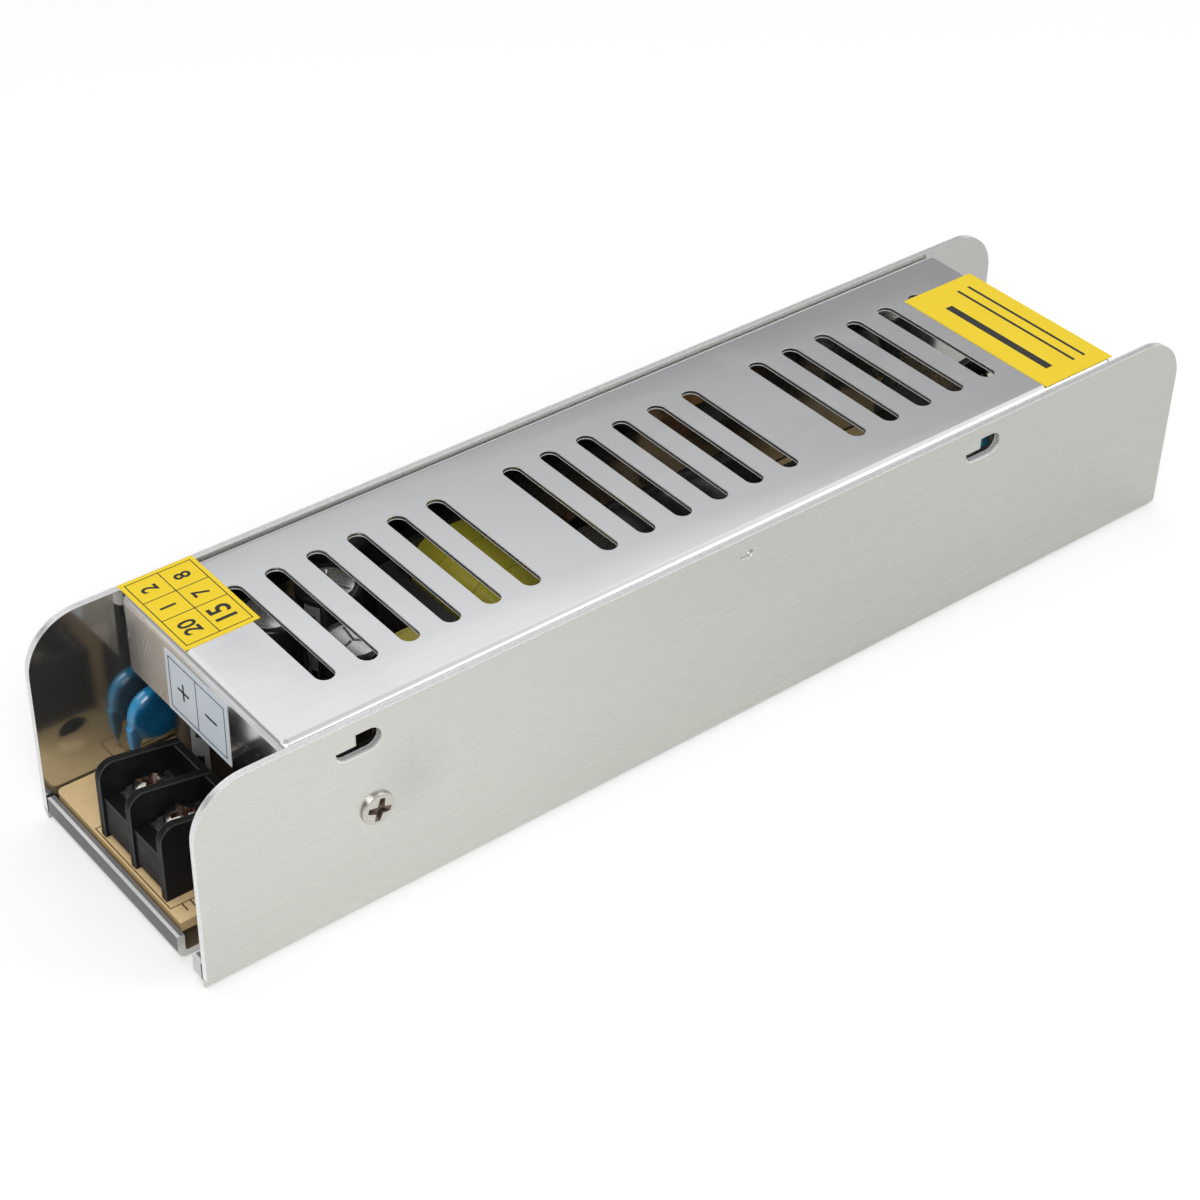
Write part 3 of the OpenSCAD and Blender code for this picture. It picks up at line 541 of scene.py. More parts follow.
def tape_finish():
    """Polyester tape wound round a coil: edges of the turns show as faint ridges."""
    finish = Finish("yellow_tape", coat_weight=0.3, coat_roughness=0.15)
    at = parts_of(finish.place)
    turns = calc("FRACT", calc("DIVIDE", at["Y"], 8.6 * MM))
    seam = spread(absolute(minus(turns, 0.5)), 0.46, 0.5)
    tone = cloud(finish.place, (0.004, 0.01, 0.004), 3.0)
    base = mix(tone, (0.50, 0.44, 0.035), (0.68, 0.62, 0.08))
    base = mix(both(seam, 0.6), base, (0.30, 0.25, 0.03))
    wrinkles = cloud(finish.place, (0.0015, 0.006, 0.0015), 3.0)
    rough = spread(tone, 0.3, 0.7, 0.28, 0.4)
    return finish.ready(base, rough, minus(wrinkles, seam), 0.00006)


def lacquer_finish(name, color, deep, thin_ink_and_rim_highlight):
    """Dipped lacquer: glossy, thick and dark on the disc, with a pale rim painted on as a
    highlight.
    """
    finish = Finish(name, coat_weight=0.8, coat_roughness=0.06)
    thick = cloud(finish.place, 0.003, 3.0)
    base = mix(spread(thick, 0.3, 0.7), deep, color)
    facing = absolute(parts_of(finish.normal)["Y"])
    # painted highlight: the colour goes pale towards the rim, where the faces turn away from Y
    base = mix(spread(facing, 0.85, 0.45), base, thin_ink_and_rim_highlight)
    rough = spread(thick, 0.3, 0.7, 0.16, 0.28)
    return finish.ready(base, rough, cloud(finish.place, 0.0007, 2.0), 0.00003)


def sticker_finish(name, color, deep, roughness):
    """Printed film: even colour, a slight orange peel and soft handling marks."""
    finish = Finish(name, specular_ior_level=0.4)
    marks = handling(finish)
    tone = cloud(finish.place, 0.008, 3.0)
    base = mix(both(marks["Scratches"], 0.3), mix(tone, deep, color), (0.95, 0.93, 0.85))
    rough = plus(both(marks["Smudges"], 0.08), roughness)
    return finish.ready(base, rough, cloud(finish.place, 0.0008, 2.0), 0.000006)


def ink_finish(name, color):
    """Screen print, pale where the mesh of the screen shows through the ink."""
    finish = Finish(name, specular_ior_level=0.3)
    thin_ink_and_rim_highlight = spread(cloud(finish.place, 0.00018, 2.0), 0.55, 0.8)
    pale = tuple(min(1.0, c + 0.12) for c in color)
    return finish.ready(mix(thin_ink_and_rim_highlight, color, pale), spread(thin_ink_and_rim_highlight, 0.0, 1.0, 0.45, 0.6))


def wire_finish():
    """Enamelled copper wire."""
    finish = Finish("enamelled_wire", metallic=1.0, coat_weight=0.9, coat_roughness=0.08)
    tone = cloud(finish.place, 0.003, 2.0)
    base = mix(tone, (0.42, 0.19, 0.05), (0.72, 0.38, 0.12))
    rough = spread(tone, 0.3, 0.7, 0.2, 0.34)
    return finish.ready(base, rough, cloud(finish.place, 0.0004, 2.0), 0.00001)


def film_finish():
    """Clear film of the insulation sheet, a little hazy."""
    finish = Finish("film", alpha=0.45, specular_ior_level=0.5)
    haze_and_painted_reflection = cloud(finish.place, 0.01, 3.0)
    base = mix(haze_and_painted_reflection, (0.74, 0.76, 0.75), (0.9, 0.91, 0.9))
    return finish.ready(base, spread(haze_and_painted_reflection, 0.3, 0.7, 0.25, 0.4))


def glass_finish():
    """Clear glass of the fuse."""
    finish = Finish("fuse_glass", transmission_weight=1.0, ior=1.45)
    haze_and_painted_reflection = cloud(finish.place, 0.004, 2.0)
    base = mix(haze_and_painted_reflection, (0.88, 0.93, 0.92), (0.97, 0.99, 0.98))
    return finish.ready(base, spread(haze_and_painted_reflection, 0.3, 0.7, 0.02, 0.08))


def resistor_finish():
    """Tan lacquer with colour bands across the body."""
    finish = Finish("resistor_body", coat_weight=0.4, coat_roughness=0.15)
    lo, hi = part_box("small_resistors")
    middle = (lo.y + hi.y) / 2
    at = parts_of(finish.place)
    base = mix(cloud(finish.place, 0.002, 2.0), (0.55, 0.40, 0.23), (0.68, 0.53, 0.33))
    bands = (
        (-1.9, (0.25, 0.08, 0.03)),
        (-0.9, (0.02, 0.02, 0.02)),
        (0.1, (0.6, 0.2, 0.03)),
        (1.7, (0.55, 0.4, 0.1)),
    )
    for shift, color in bands:
        base = mix(near(at["Y"], middle + shift * MM, 0.3 * MM), base, color)
    leads = above(absolute(minus(at["Y"], middle)), 3.02 * MM)
    base = mix(leads, base, (0.7, 0.7, 0.69))
    finish.set("Metallic", leads)
    return finish.ready(base, spread(cloud(finish.place, 0.001), 0.3, 0.7, 0.25, 0.4))


CHASSIS_SHEET = chassis_finish()
COVER_SHEET = cover_finish()
BOARD = laminate_finish()
BLOCK = moulding("block_moulding", (0.006, 0.006, 0.0065), 0.38, dusty=0.25, gloss=0.1)
BLOCK_WORN = moulding("block_worn_edge", (0.028, 0.028, 0.03), 0.34, 0.0003, 0.00002, gloss=0.35)
PACKAGE = moulding("package_moulding", (0.03, 0.03, 0.032), 0.5)
BOBBIN = moulding("bobbin_moulding", (0.02, 0.02, 0.02), 0.35)
FERRITE = moulding("ferrite", (0.035, 0.035, 0.038), 0.38, 0.0003, 0.00002)
SLEEVE = moulding("black_sleeve", (0.012, 0.012, 0.014), 0.24, 0.0006, 0.000015)
HEATSINK_BLACK = moulding("black_anodised", (0.018, 0.018, 0.02), 0.36, 0.0001)
PAD = moulding("silicone_pad", (0.36, 0.42, 0.5), 0.6)
GREY_CASE = moulding("grey_case", (0.40, 0.39, 0.35), 0.4)
GREEN_COATING = moulding("green_coating", (0.03, 0.045, 0.03), 0.4, 0.0004, 0.00003)
# painted shade: the disc's blue is kept dark for the shade under the cover; the last colour is its
# pale rim, a painted highlight
BLUE = lacquer_finish(
    "blue_coating", (0.008, 0.125, 0.27), (0.004, 0.085, 0.19), (0.02, 0.30, 0.60)
)
# painted light: a paler, lit copy of the blue coating for the varistor, which sits unlit inside
# the case
LIT_BLUE = lacquer_finish(
    "painted_light_blue_coating", (0.07, 0.42, 0.66), (0.04, 0.32, 0.55), (0.16, 0.56, 0.76)
)
TAPE = tape_finish()
WIRE = wire_finish()
PLATED_SCREW = plain_metal("plated_screw", (0.80, 0.78, 0.72), 0.2)
# painted shade: the screws' cross recesses take a darker brown metal, and the wall screw's recess
# a darker one still
PAINTED_SHADE_RECESS = plain_metal("painted_shade_recess", (0.34, 0.25, 0.20), 0.3)
SHADED_RECESS = plain_metal("shaded_recess", (0.18, 0.145, 0.12), 0.3)
DULL_NICKEL = plain_metal("dull_nickel", (0.62, 0.60, 0.54), 0.26)
PLATED_CONTACT = plain_metal("plated_contact", (0.74, 0.73, 0.71), 0.3)
CAN_METAL = plain_metal("can_metal", (0.84, 0.84, 0.83), 0.28, metallic=0.75, pressed=True)
BRIGHT_PLATE = plain_metal("bright_plate", (0.82, 0.82, 0.82), 0.25)
FUSE_CAP = plain_metal("fuse_cap", (0.78, 0.77, 0.74), 0.22)
FILM = film_finish()
GLASS = glass_finish()
RESISTOR = resistor_finish()
YELLOW_LABEL = sticker_finish("yellow_label", (0.97, 0.72, 0.022), (0.93, 0.66, 0.018), 0.42)
WHITE_LABEL = sticker_finish("white_label", (0.76, 0.82, 0.88), (0.70, 0.77, 0.84), 0.4)
BLACK_INK = ink_finish("black_ink", (0.02, 0.02, 0.02))
BROWN_INK = ink_finish("brown_ink", (0.16, 0.07, 0.02))
WHITE_INK = ink_finish("white_ink", (0.30, 0.30, 0.30))

NODE_FINISHES = {
    "chassis": CHASSIS_SHEET,
    "cover": COVER_SHEET,
    "insulation_sheet": FILM,
    "circuit_board": BOARD,
    "board_screws": PLATED_SCREW,
    "output_block": BLOCK,
    "output_contacts": PLATED_CONTACT,
    "input_block": BLOCK,
    "input_contacts": PLATED_CONTACT,
    "clamp_screw": PLATED_SCREW,
    "clamp_nut": PLATED_SCREW,
    "rectifier": PACKAGE,
    "rectifier_pad": PAD,
    "output_capacitor_sleeves": SLEEVE,
    "output_capacitor_cans": CAN_METAL,
    "disc_capacitor": BLUE,
    "inductor_core": FERRITE,
    "inductor_winding": TAPE,
    "transformer_core": FERRITE,
    "transformer_bobbin": BOBBIN,
    "transformer_winding": TAPE,
    "bulk_capacitor_sleeve": SLEEVE,
    "bulk_capacitor_can": CAN_METAL,
    "heatsink": HEATSINK_BLACK,
    "switching_transistor": PACKAGE,
    "controller_chip": PACKAGE,
    "choke_core": FERRITE,
    "choke_winding": WIRE,
    "film_capacitor": GREY_CASE,
    "bridge_rectifier": PACKAGE,
    "bridge_heatsink": BRIGHT_PLATE,
    "varistor": BLUE,
    "thermistor": GREEN_COATING,
    "fuse_tube": GLASS,
    "fuse_caps": FUSE_CAP,
    "small_resistors": RESISTOR,
    "date_label": YELLOW_LABEL,
    "cover_label": YELLOW_LABEL,
    "terminal_label": WHITE_LABEL,
}
for end, poles in POLES.items():
    for pole in range(1, poles + 1):
        NODE_FINISHES[f"{end}_clamp_{pole}"] = PLATED_CONTACT
        NODE_FINISHES[f"{end}_screw_{pole}"] = PLATED_SCREW


def dress_nodes():
    """Gives every CAD node its finish."""
    for name, finish in NODE_FINISHES.items():
        mesh = nodes[name].data
        mesh.materials.clear()
        mesh.materials.append(finish)


# ---------- meshes ----------


def in_scene(name, data):
    made = bpy.data.objects.new(name, data)
    bpy.context.scene.collection.objects.link(made)
    return made


def worked_out(holder):
    """The mesh that the holder's modifiers or curve come to; the holder itself goes."""
    graph = bpy.context.evaluated_depsgraph_get()
    mesh = bpy.data.meshes.new_from_object(holder.evaluated_get(graph))
    bpy.data.objects.remove(holder)
    return mesh


def as_mesh(shape, name):
    """The bmesh as a mesh; the bmesh goes."""
    mesh = bpy.data.meshes.new(name)
    shape.to_mesh(mesh)
    shape.free()
    return mesh


def turn_out(shape):
    """Turns the faces of closed shapes outwards."""
    bmesh.ops.recalc_face_normals(shape, faces=shape.faces)


def shape_of(mesh):
    shape = bmesh.new()
    shape.from_mesh(mesh)
    return shape


def add_piece(name, mesh, body, finishes, replaces=(), place=Matrix.Identity(4)):
    """Puts a mesh in the scene as one of the object's pieces."""
    piece = in_scene(name, mesh)
    piece.matrix_world = place
    for finish in finishes:
        mesh.materials.append(finish)
    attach(piece, body)
    if replaces:
        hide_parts(*replaces)
    return piece


def to_mesh(shape, name, smooth_angle=35):
    """Ends a bmesh: faces meet smoothly below the angle given in degrees."""
    turn_out(shape)
    limit = math.radians(smooth_angle)
    for face in shape.faces:
        face.smooth = True
    for edge in shape.edges:
        edge.smooth = len(edge.link_faces) == 2 and edge.calc_face_angle(0) < limit
    return as_mesh(shape, name)


def bevelled(piece, width, segments=2, worn_index=None):
    """Rounds the piece's edges; new faces can take the worn finish."""
    bevel = piece.modifiers.new("Edge rounding", "BEVEL")
    bevel.width = width
    bevel.segments = segments
    bevel.limit_method = "ANGLE"
    bevel.angle_limit = math.radians(35)
    bevel.harden_normals = True
    if worn_index is not None:
        bevel.material = worn_index
    return piece


def add_box(shape, lo, hi):
    """A closed box with its corners at lo and hi."""
    corners = [
        shape.verts.new((x, y, z))
        for z in (lo[2], hi[2])
        for x, y in ((lo[0], lo[1]), (hi[0], lo[1]), (hi[0], hi[1]), (lo[0], hi[1]))
    ]
    sides = ((3, 2, 1, 0), (4, 5, 6, 7), (0, 1, 5, 4), (1, 2, 6, 5), (2, 3, 7, 6), (3, 0, 4, 7))
    for side in sides:
        shape.faces.new([corners[k] for k in side])


def polar(radius, angle):
    return radius * math.cos(angle), radius * math.sin(angle)


def join_rings(shape, a, b):
    """Four-sided faces between two closed rings of as many vertices."""
    for k in range(len(a)):
        after = (k + 1) % len(a)
        shape.faces.new((a[k], a[after], b[after], b[k]))


def add_tapered(shape, rings):
    """A closed solid through rings of as many points, from the first to the last."""
    rings = [[shape.verts.new(p) for p in ring] for ring in rings]
    shape.faces.new(rings[0])
    shape.faces.new(rings[-1][::-1])
    for upper, lower in zip(rings, rings[1:]):
        for k in range(len(upper)):
            after = (k + 1) % len(upper)
            shape.faces.new((upper[k], lower[k], lower[after], upper[after]))


def since(shape, before):
    """The vertices that came to the shape since before."""
    return [v for v in shape.verts if v not in before]


def add_prism(shape, outline, low, high, axis="Y"):
    """A closed prism: an outline in X and Z drawn out along Y, or in X and Y along Z."""
    rings = []
    for level in (low, high):
        if axis == "Y":
            rings.append([shape.verts.new((u, level, v)) for u, v in outline])
        else:
            rings.append([shape.verts.new((u, v, level)) for u, v in outline])
    shape.faces.new(rings[0])
    shape.faces.new(rings[1][::-1])
    join_rings(shape, *rings)


def add_lathe(shape, profile, steps=48):
    """Turns a profile of (radius, height) points round Z."""
    rings = []
    for radius, height in profile:
        if radius <= 1e-9:
            rings.append([shape.verts.new((0, 0, height))])
            continue
        turn = [2 * math.pi * k / steps for k in range(steps)]
        rings.append([shape.verts.new((*polar(radius, a), height)) for a in turn])
    for low, high in zip(rings, rings[1:]):
        for k in range(steps):
            after = (k + 1) % steps
            corners = [low[k % len(low)], low[after % len(low)]]
            corners += [high[after % len(high)], high[k % len(high)]]
            unique = list(dict.fromkeys(corners))
            if len(unique) > 2:
                shape.faces.new(unique)


def carved(mesh, cutter):
    """The mesh with the cutter taken away, worked out once."""
    base, tool = in_scene("carve_base", mesh), in_scene("carve_tool", cutter)
    cut = base.modifiers.new("Carve", "BOOLEAN")
    cut.operation = "DIFFERENCE"
    cut.solver = "EXACT"
    cut.object = tool
    made = worked_out(base)
    bpy.data.objects.remove(tool)
    return made


# ---------- screws ----------


def as_tool(shape, name, index=1):
    """A bmesh as a cutter whose faces leave the given finish behind."""
    turn_out(shape)
    for face in shape.faces:
        face.material_index = index
    mesh = as_mesh(shape, name)
    for finish in (PLATED_SCREW, PAINTED_SHADE_RECESS):
        mesh.materials.append(finish)
    return mesh


def cross_recess(depth, reach, width):
    """Cutters for a cross recess: two tapered blades and the cone where they meet."""
    tools = []
    levels = ((1.5, 1.6, 0.5 * MM), (1.07, 1.14, 0), (1.0, 1.0, -0.10 * MM), (0.55, 0.62, -depth))
    for turn in (0, QUARTER):
        spin = Matrix.Rotation(turn, 3, "Z")
        shape = bmesh.new()
        rings = []
        for long, wide, level in levels:
            x, y = reach * long, width * wide
            ring = [(-x, -y * 0.8), (0, -y * 1.15), (x, -y * 0.8)]
            ring += [(x, y * 0.8), (0, y * 1.15), (-x, y * 0.8)]
            rings.append([spin @ Vector((*p, level)) for p in ring])
        add_tapered(shape, rings)
        tools.append(as_tool(shape, "cross recess"))
    cone = bmesh.new()
    cone_side = [(width * 0.9, -depth), (width * 2.0, 0.5 * MM)]
    add_lathe(cone, [(0, -depth * 1.15), *cone_side, (0, 0.5 * MM)], 16)
    tools.append(as_tool(cone, "recess cone"))
    return tools


def screw_head(name, r, head_h):
    """A pan head turned from its profile, still without its recess."""
    head = bmesh.new()
    profile = [(0, 0), (r * 0.96, 0), (r, head_h * 0.05), (r, head_h * 0.34)]
    for k in range(1, 9):
        a = QUARTER * k / 8
        profile.append((r * (0.84 + 0.16 * math.cos(a)), head_h * (0.34 + 0.42 * math.sin(a))))
    profile += [(r * 0.66, head_h * 0.88), (r * 0.45, head_h * 0.95)]
    profile += [(r * 0.22, head_h * 0.99), (0, head_h)]
    add_lathe(head, profile, 64)
    return as_tool(head, name, 0)


def screw_mesh(name, head_d, head_h, shank_l, recess_turn, slotted=False, low=False):
    """A screw with a cross recess and a cut thread; the head stands on z = 0."""
    r = head_d / 2
    mesh = screw_head(name, r, head_h)
    depth, reach, width = (0.84, 0.74, 0.2) if low else (0.7, 0.67, 0.185)
    tools = cross_recess(head_h * depth, r * reach, r * width)
    if slotted:
        slot = bmesh.new()
        add_box(slot, (-r * 1.1, -r * 0.11, -0.28 * head_h), (r * 1.1, r * 0.11, head_h))
        tools.append(as_tool(slot, "slot"))
    for tool in tools:
        tool.transform(Matrix.Translation((0, 0, head_h)) @ Matrix.Rotation(recess_turn, 4, "Z"))
        mesh = carved(mesh, tool)
    shape = shape_of(mesh)
    pitch, crest = THREAD_PITCH, THREAD_D / 2
    root = crest - pitch * 0.5
    turns, steps = int(shank_l / pitch), 20
    rings = []
    for k in range(turns * steps + 1):
        a = 2 * math.pi * k / steps
        z = -pitch * k / steps
        along = Vector((math.cos(a), math.sin(a), 0))
        rings.append([
            shape.verts.new(along * crest + Vector((0, 0, z))),
            shape.verts.new(along * root + Vector((0, 0, z - pitch / 2))),
            shape.verts.new(along * crest + Vector((0, 0, z - pitch))),
        ])
    for before, after in zip(rings, rings[1:]):
        for k in range(2):
            shape.faces.new((before[k], before[k + 1], after[k + 1], after[k]))
    add_lathe(shape, [(root, 0), (root, -shank_l), (0, -shank_l)], 20)
    return to_mesh(shape, name, 32)


def terminal_screws():
    """The captive screw of every terminal, each with the clamp plate that it carries."""
    for end, poles in POLES.items():
        for pole in range(1, poles + 1):
            name = f"{end}_screw_{pole}"
            lo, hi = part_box(name)
            clamp_lo, clamp_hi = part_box(f"{end}_clamp_{pole}")
            seat = clamp_hi.z
            turn = 0.5 + 0.9 * pole
            mesh = screw_mesh(
                name + "_threaded", hi.x - lo.x, hi.z - seat, seat - lo.z, turn, slotted=True
            )
            place = Matrix.Translation(((lo.x + hi.x) / 2, (lo.y + hi.y) / 2, seat))
            finishes = [PLATED_SCREW, PAINTED_SHADE_RECESS]
            add_piece(name + "_threaded", mesh, name, finishes, [name], place)
            clamp_plate(f"{end}_clamp_{pole}", clamp_lo, clamp_hi)


def holed_plate(name, outline, hole, thick):
    """A flat plate with a round hole at its origin, standing on z = 0."""
    shape = bmesh.new()
    ring = [shape.verts.new((*p, 0)) for p in outline]
    turns = [math.atan2(p[1], p[0]) for p in outline]
    inner = [shape.verts.new((*polar(hole, a), 0)) for a in turns]
    join_rings(shape, ring, inner)
    raised = bmesh.ops.extrude_face_region(shape, geom=shape.faces[:])
    fresh = [v for v in raised["geom"] if isinstance(v, bmesh.types.BMVert)]
    bmesh.ops.translate(shape, verts=fresh, vec=(0, 0, thick))
    return to_mesh(shape, name, 30)


def clamp_plate(node_name, lo, hi):
    """A square washer with nipped corners."""
    half, nip = (hi.x - lo.x) / 2, 0.57 * MM
    outline = []
    for k in range(4):
        turn = Matrix.Rotation(QUARTER * k, 2)
        points = [(half, nip - half), (half, -0.3 * half), (half, 0.3 * half), (half, half - nip)]
        outline += [turn @ Vector(p) for p in points]
    mesh = holed_plate(node_name + "_pressed", outline, SCREW_HOLE_R, hi.z - lo.z)
    place = Matrix.Translation(((lo.x + hi.x) / 2, (lo.y + hi.y) / 2, lo.z))
    finishes = [PLATED_CONTACT]
    piece = add_piece(mesh.name, mesh, node_name, finishes, [node_name], place)
    bevelled(piece, 0.12 * MM)


def ledge_length(end):
    """How far the block's front ledge reaches before the contact plates start."""
    lo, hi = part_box(end + "_block")
    clamp_lo, clamp_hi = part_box(end + "_clamp_1")
    gap = clamp_lo.x - lo.x if end == "output" else hi.x - clamp_hi.x
    return gap - 0.3 * MM


def contact_plates(end, poles):
    """The plates under the clamps; their front ends stop at the block's ledge."""
    block_lo, block_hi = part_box(end + "_block")
    lo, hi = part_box(end + "_contacts")
    flip = 1 if end == "output" else -1
    start = block_lo.x if end == "output" else block_hi.x
    back = hi.x if end == "output" else lo.x
    for pole in range(1, poles + 1):
        clamp_lo, clamp_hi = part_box(f"{end}_clamp_{pole}")
        middle = (clamp_lo + clamp_hi) / 2
        edges = sorted((start + flip * ledge_length(end) - middle.x, back - middle.x))
        half = (clamp_hi.y - clamp_lo.y) / 2
        outline = [(edges[1], -half), (edges[1], half), (0, half), (edges[0], half)]
        outline += [(edges[0], -half), (0, -half)]
        mesh = holed_plate(f"{end}_contact_{pole}", outline, SCREW_HOLE_R, hi.z - lo.z)
        place = Matrix.Translation((middle.x, middle.y, lo.z))
        replaced = [end + "_contacts"]
        add_piece(mesh.name, mesh, "root", [PLATED_CONTACT], replaced, place)


def wall_screw():
    """The low headed screw that clamps the rectifier to the wall."""
    lo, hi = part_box("clamp_screw")
    x, z = (lo.x + hi.x) / 2, (lo.z + hi.z) / 2
    head_h, length = 0.44 * (case_lo.y - lo.y), hi.y - case_lo.y
    name, head_d = "clamp_screw_threaded", 0.97 * (hi.x - lo.x)
    mesh = screw_mesh(name, head_d, head_h, length, -0.27, low=True)
    place = Matrix.Translation((x, case_lo.y, z)) @ Matrix.Rotation(QUARTER, 4, "X")
    finishes = [DULL_NICKEL, SHADED_RECESS]
    add_piece(name, mesh, "root", finishes, ["clamp_screw"], place)


# ---------- terminal blocks ----------


def divider_outline(depth, front, back, radius):
    """Side view of a divider: round upper front corner, then a slope down to the back."""
    points = [(0, 0), (depth, 0), (depth, back)]
    for k in range(9):
        a = QUARTER + QUARTER * k / 8
        points.append((radius + radius * math.cos(a), front - radius + radius * math.sin(a)))
    return points


def barrier_block(end, poles):
    """The moulded block: base, ledges before and behind the contacts, back wall, dividers, lug."""
    lo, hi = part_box(end + "_block")
    first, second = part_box(f"{end}_screw_1"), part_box(f"{end}_screw_2")
    pitch = abs((first[0].y + first[1].y) / 2 - (second[0].y + second[1].y) / 2)
    thick, depth = 1.3 * MM, hi.x - lo.x
    width = poles * pitch + thick
    plate_lo, plate_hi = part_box(end + "_contacts")
    top, reach = plate_hi.z - lo.z, plate_hi.x - plate_lo.x
    front, back, foot = hi.z - lo.z, 11.2 * MM, 1 * MM
    side = pitch / 2 - 3.07 * MM
    half, low_ledge = width / 2 - 0.1 * MM, top - 1.2 * MM
    shape = bmesh.new()
    add_box(shape, (0.4 * MM, -half, foot), (depth - 0.3 * MM, half, top - 0.8 * MM))
    add_box(shape, (0.4 * MM, -half, low_ledge), (ledge_length(end) - 0.03 * MM, half, top))
    add_box(shape, (1.2 * MM + reach, -half, low_ledge), (depth - 0.5 * MM, half, top))
    half = width / 2 - 0.05 * MM
    add_box(shape, (depth - 1.4 * MM, -half, foot), (depth - 0.02 * MM, half, back))
    outline = divider_outline(depth, front, back, 2.5 * MM)
    for k in range(poles + 1):
        y = -width / 2 + k * pitch
        add_prism(shape, outline, y, y + thick)
        for s in (-1, 1):
            if 0 < k < poles or (k == 0 and s > 0) or (k == poles and s < 0):
                close = y + thick / 2 + s * (thick / 2 - 0.05 * MM)
                low, high = sorted((close, y + thick / 2 + s * side))
                add_box(shape, (0.5 * MM, low, foot), (depth - 0.5 * MM, high, top - 0.02 * MM))
    lug = [polar(0.9 * MM, math.pi * k / 12) for k in range(13)]
    lug = [(1.5 * MM + x, width / 2 + y - 0.05 * MM) for x, y in lug]
    add_prism(shape, lug, 7.7 * MM, 11.9 * MM, "Z")
    mesh = to_mesh(shape, end + "_block_moulded", 30)
    flip = 0 if end == "output" else math.pi
    start = lo.x if end == "output" else hi.x
    place = Matrix.Translation((start, 0, lo.z)) @ Matrix.Rotation(flip, 4, "Z")
    finishes, replaced = [BLOCK, BLOCK_WORN], [end + "_block"]
    piece = add_piece(mesh.name, mesh, "root", finishes, replaced, place)
    bevelled(piece, 0.16 * MM, 2, 1)


# ---------- cover ----------


def add_corner(shape, centre, r, thick, side):
    """A pressed corner, where the cover's bends along and across meet."""
    steps, drop = 6, Vector((0, 0, 1.6 * MM))
    skins = []
    for radius in (r, r - thick):
        skin = []
        for i in range(-1, steps + 1):
            up = QUARTER * max(i, 0) / steps
            row = []
            for k in range(steps + 1):
                a = QUARTER * k / steps
                flat = Vector((side[0] * math.cos(a), side[1] * math.sin(a), 0)) * math.cos(up)
                place = centre + radius * (flat + Vector((0, 0, math.sin(up))))
                row.append(shape.verts.new(place - drop if i < 0 else place))
            skin.append(row)
        for lower, upper in zip(skin, skin[1:]):
            for k in range(steps):
                shape.faces.new((lower[k], lower[k + 1], upper[k + 1], upper[k]))
        skins.append(skin)
    for k in range(steps):
        shape.faces.new((skins[0][0][k], skins[0][0][k + 1], skins[1][0][k + 1], skins[1][0][k]))


def add_latch(shape, left, middle, side):
    """The tongue that springs into an opening at its output end, with a rolled lower edge."""
    r = LATCH_HEIGHT / 2 - 0.1 * MM
    turns = [math.radians(90 + 104 * k / 10) for k in range(11)]
    bend = left + LATCH_HEIGHT / 2
    outline = [(bend + r * math.cos(a), middle + r * math.sin(a)) for a in turns]
    outline += [(left + 3.6 * MM, outline[-1][1]), (left + 3.6 * MM, middle + r)]
    inner, outer = sorted((side * (INNER_Y - 0.7 * MM), side * (INNER_Y + 0.95 * MM)))
    before = set(shape.verts)
    add_prism(shape, outline, inner, outer)
    face_y = side * (INNER_Y + 0.95 * MM)
    fresh = {v for v in since(shape, before) if abs(v.co.y - face_y) < 1e-7}
    rim = [e for e in shape.edges if e.verts[0] in fresh and e.verts[1] in fresh]
    bmesh.ops.bevel(shape, geom=rim, offset=0.28 * MM, segments=3, affect="EDGES", profile=0.5)


def pressed_cover():
    """The cover, with its four corners pressed shut and its latches sprung into the walls."""
    mesh = nodes["cover"].data.copy()
    mesh.materials.clear()
    openings = latch_openings(mesh)
    top = [v.co for v in mesh.vertices if v.co.z > cover_hi.z - 0.01 * MM]
    flat_x = max(abs(co.x) for co in top)
    flat_y = max(abs(co.y) for co in top)
    cutter = bmesh.new()
    for left, middle, side in openings:
        y = sorted((side * (INNER_Y - 1.4 * MM), side * case_hi.y))
        low = (left + 0.2 * MM, y[0], middle - 1.95 * MM)
        high = (left + LATCH_LENGTH - 0.08 * MM, y[1], middle + 1.75 * MM)
        add_box(cutter, low, high)
    mesh = carved(mesh, as_tool(cutter, "cover_windows", 0))
    shape = shape_of(mesh)
    r = cover_hi.x - flat_x
    for sx in (-1, 1):
        for sy in (-1, 1):
            centre = Vector((sx * flat_x, sy * flat_y, cover_hi.z - r))
            add_corner(shape, centre, r, COVER_THICK, (sx, sy))
    for opening in openings:
        add_latch(shape, *opening)
    for face in shape.faces:
        face.material_index = 0
    piece = to_mesh(shape, "cover_pressed", 32)
    add_piece("cover_pressed", piece, "root", [COVER_SHEET], ["cover"])


# ---------- prints ----------


def add_strip(shape, a, b, width, z=0.0):
    """A flat strip from a to b in the XY plane."""
    a, b = Vector(a), Vector(b)
    along = (b - a).normalized() * width / 2
    across = Vector((-along.y, along.x))
    corners = (a - along - across, b + along - across, b + along + across, a - along + across)
    shape.faces.new([shape.verts.new((*c, z)) for c in corners])


def add_frame(shape, lo, hi, width):
    """A ruled rectangle with its corners at lo and hi."""
    corners = [(lo[0], lo[1]), (hi[0], lo[1]), (hi[0], hi[1]), (lo[0], hi[1])]
    for k in range(4):
        add_strip(shape, corners[k], corners[(k + 1) % 4], width)


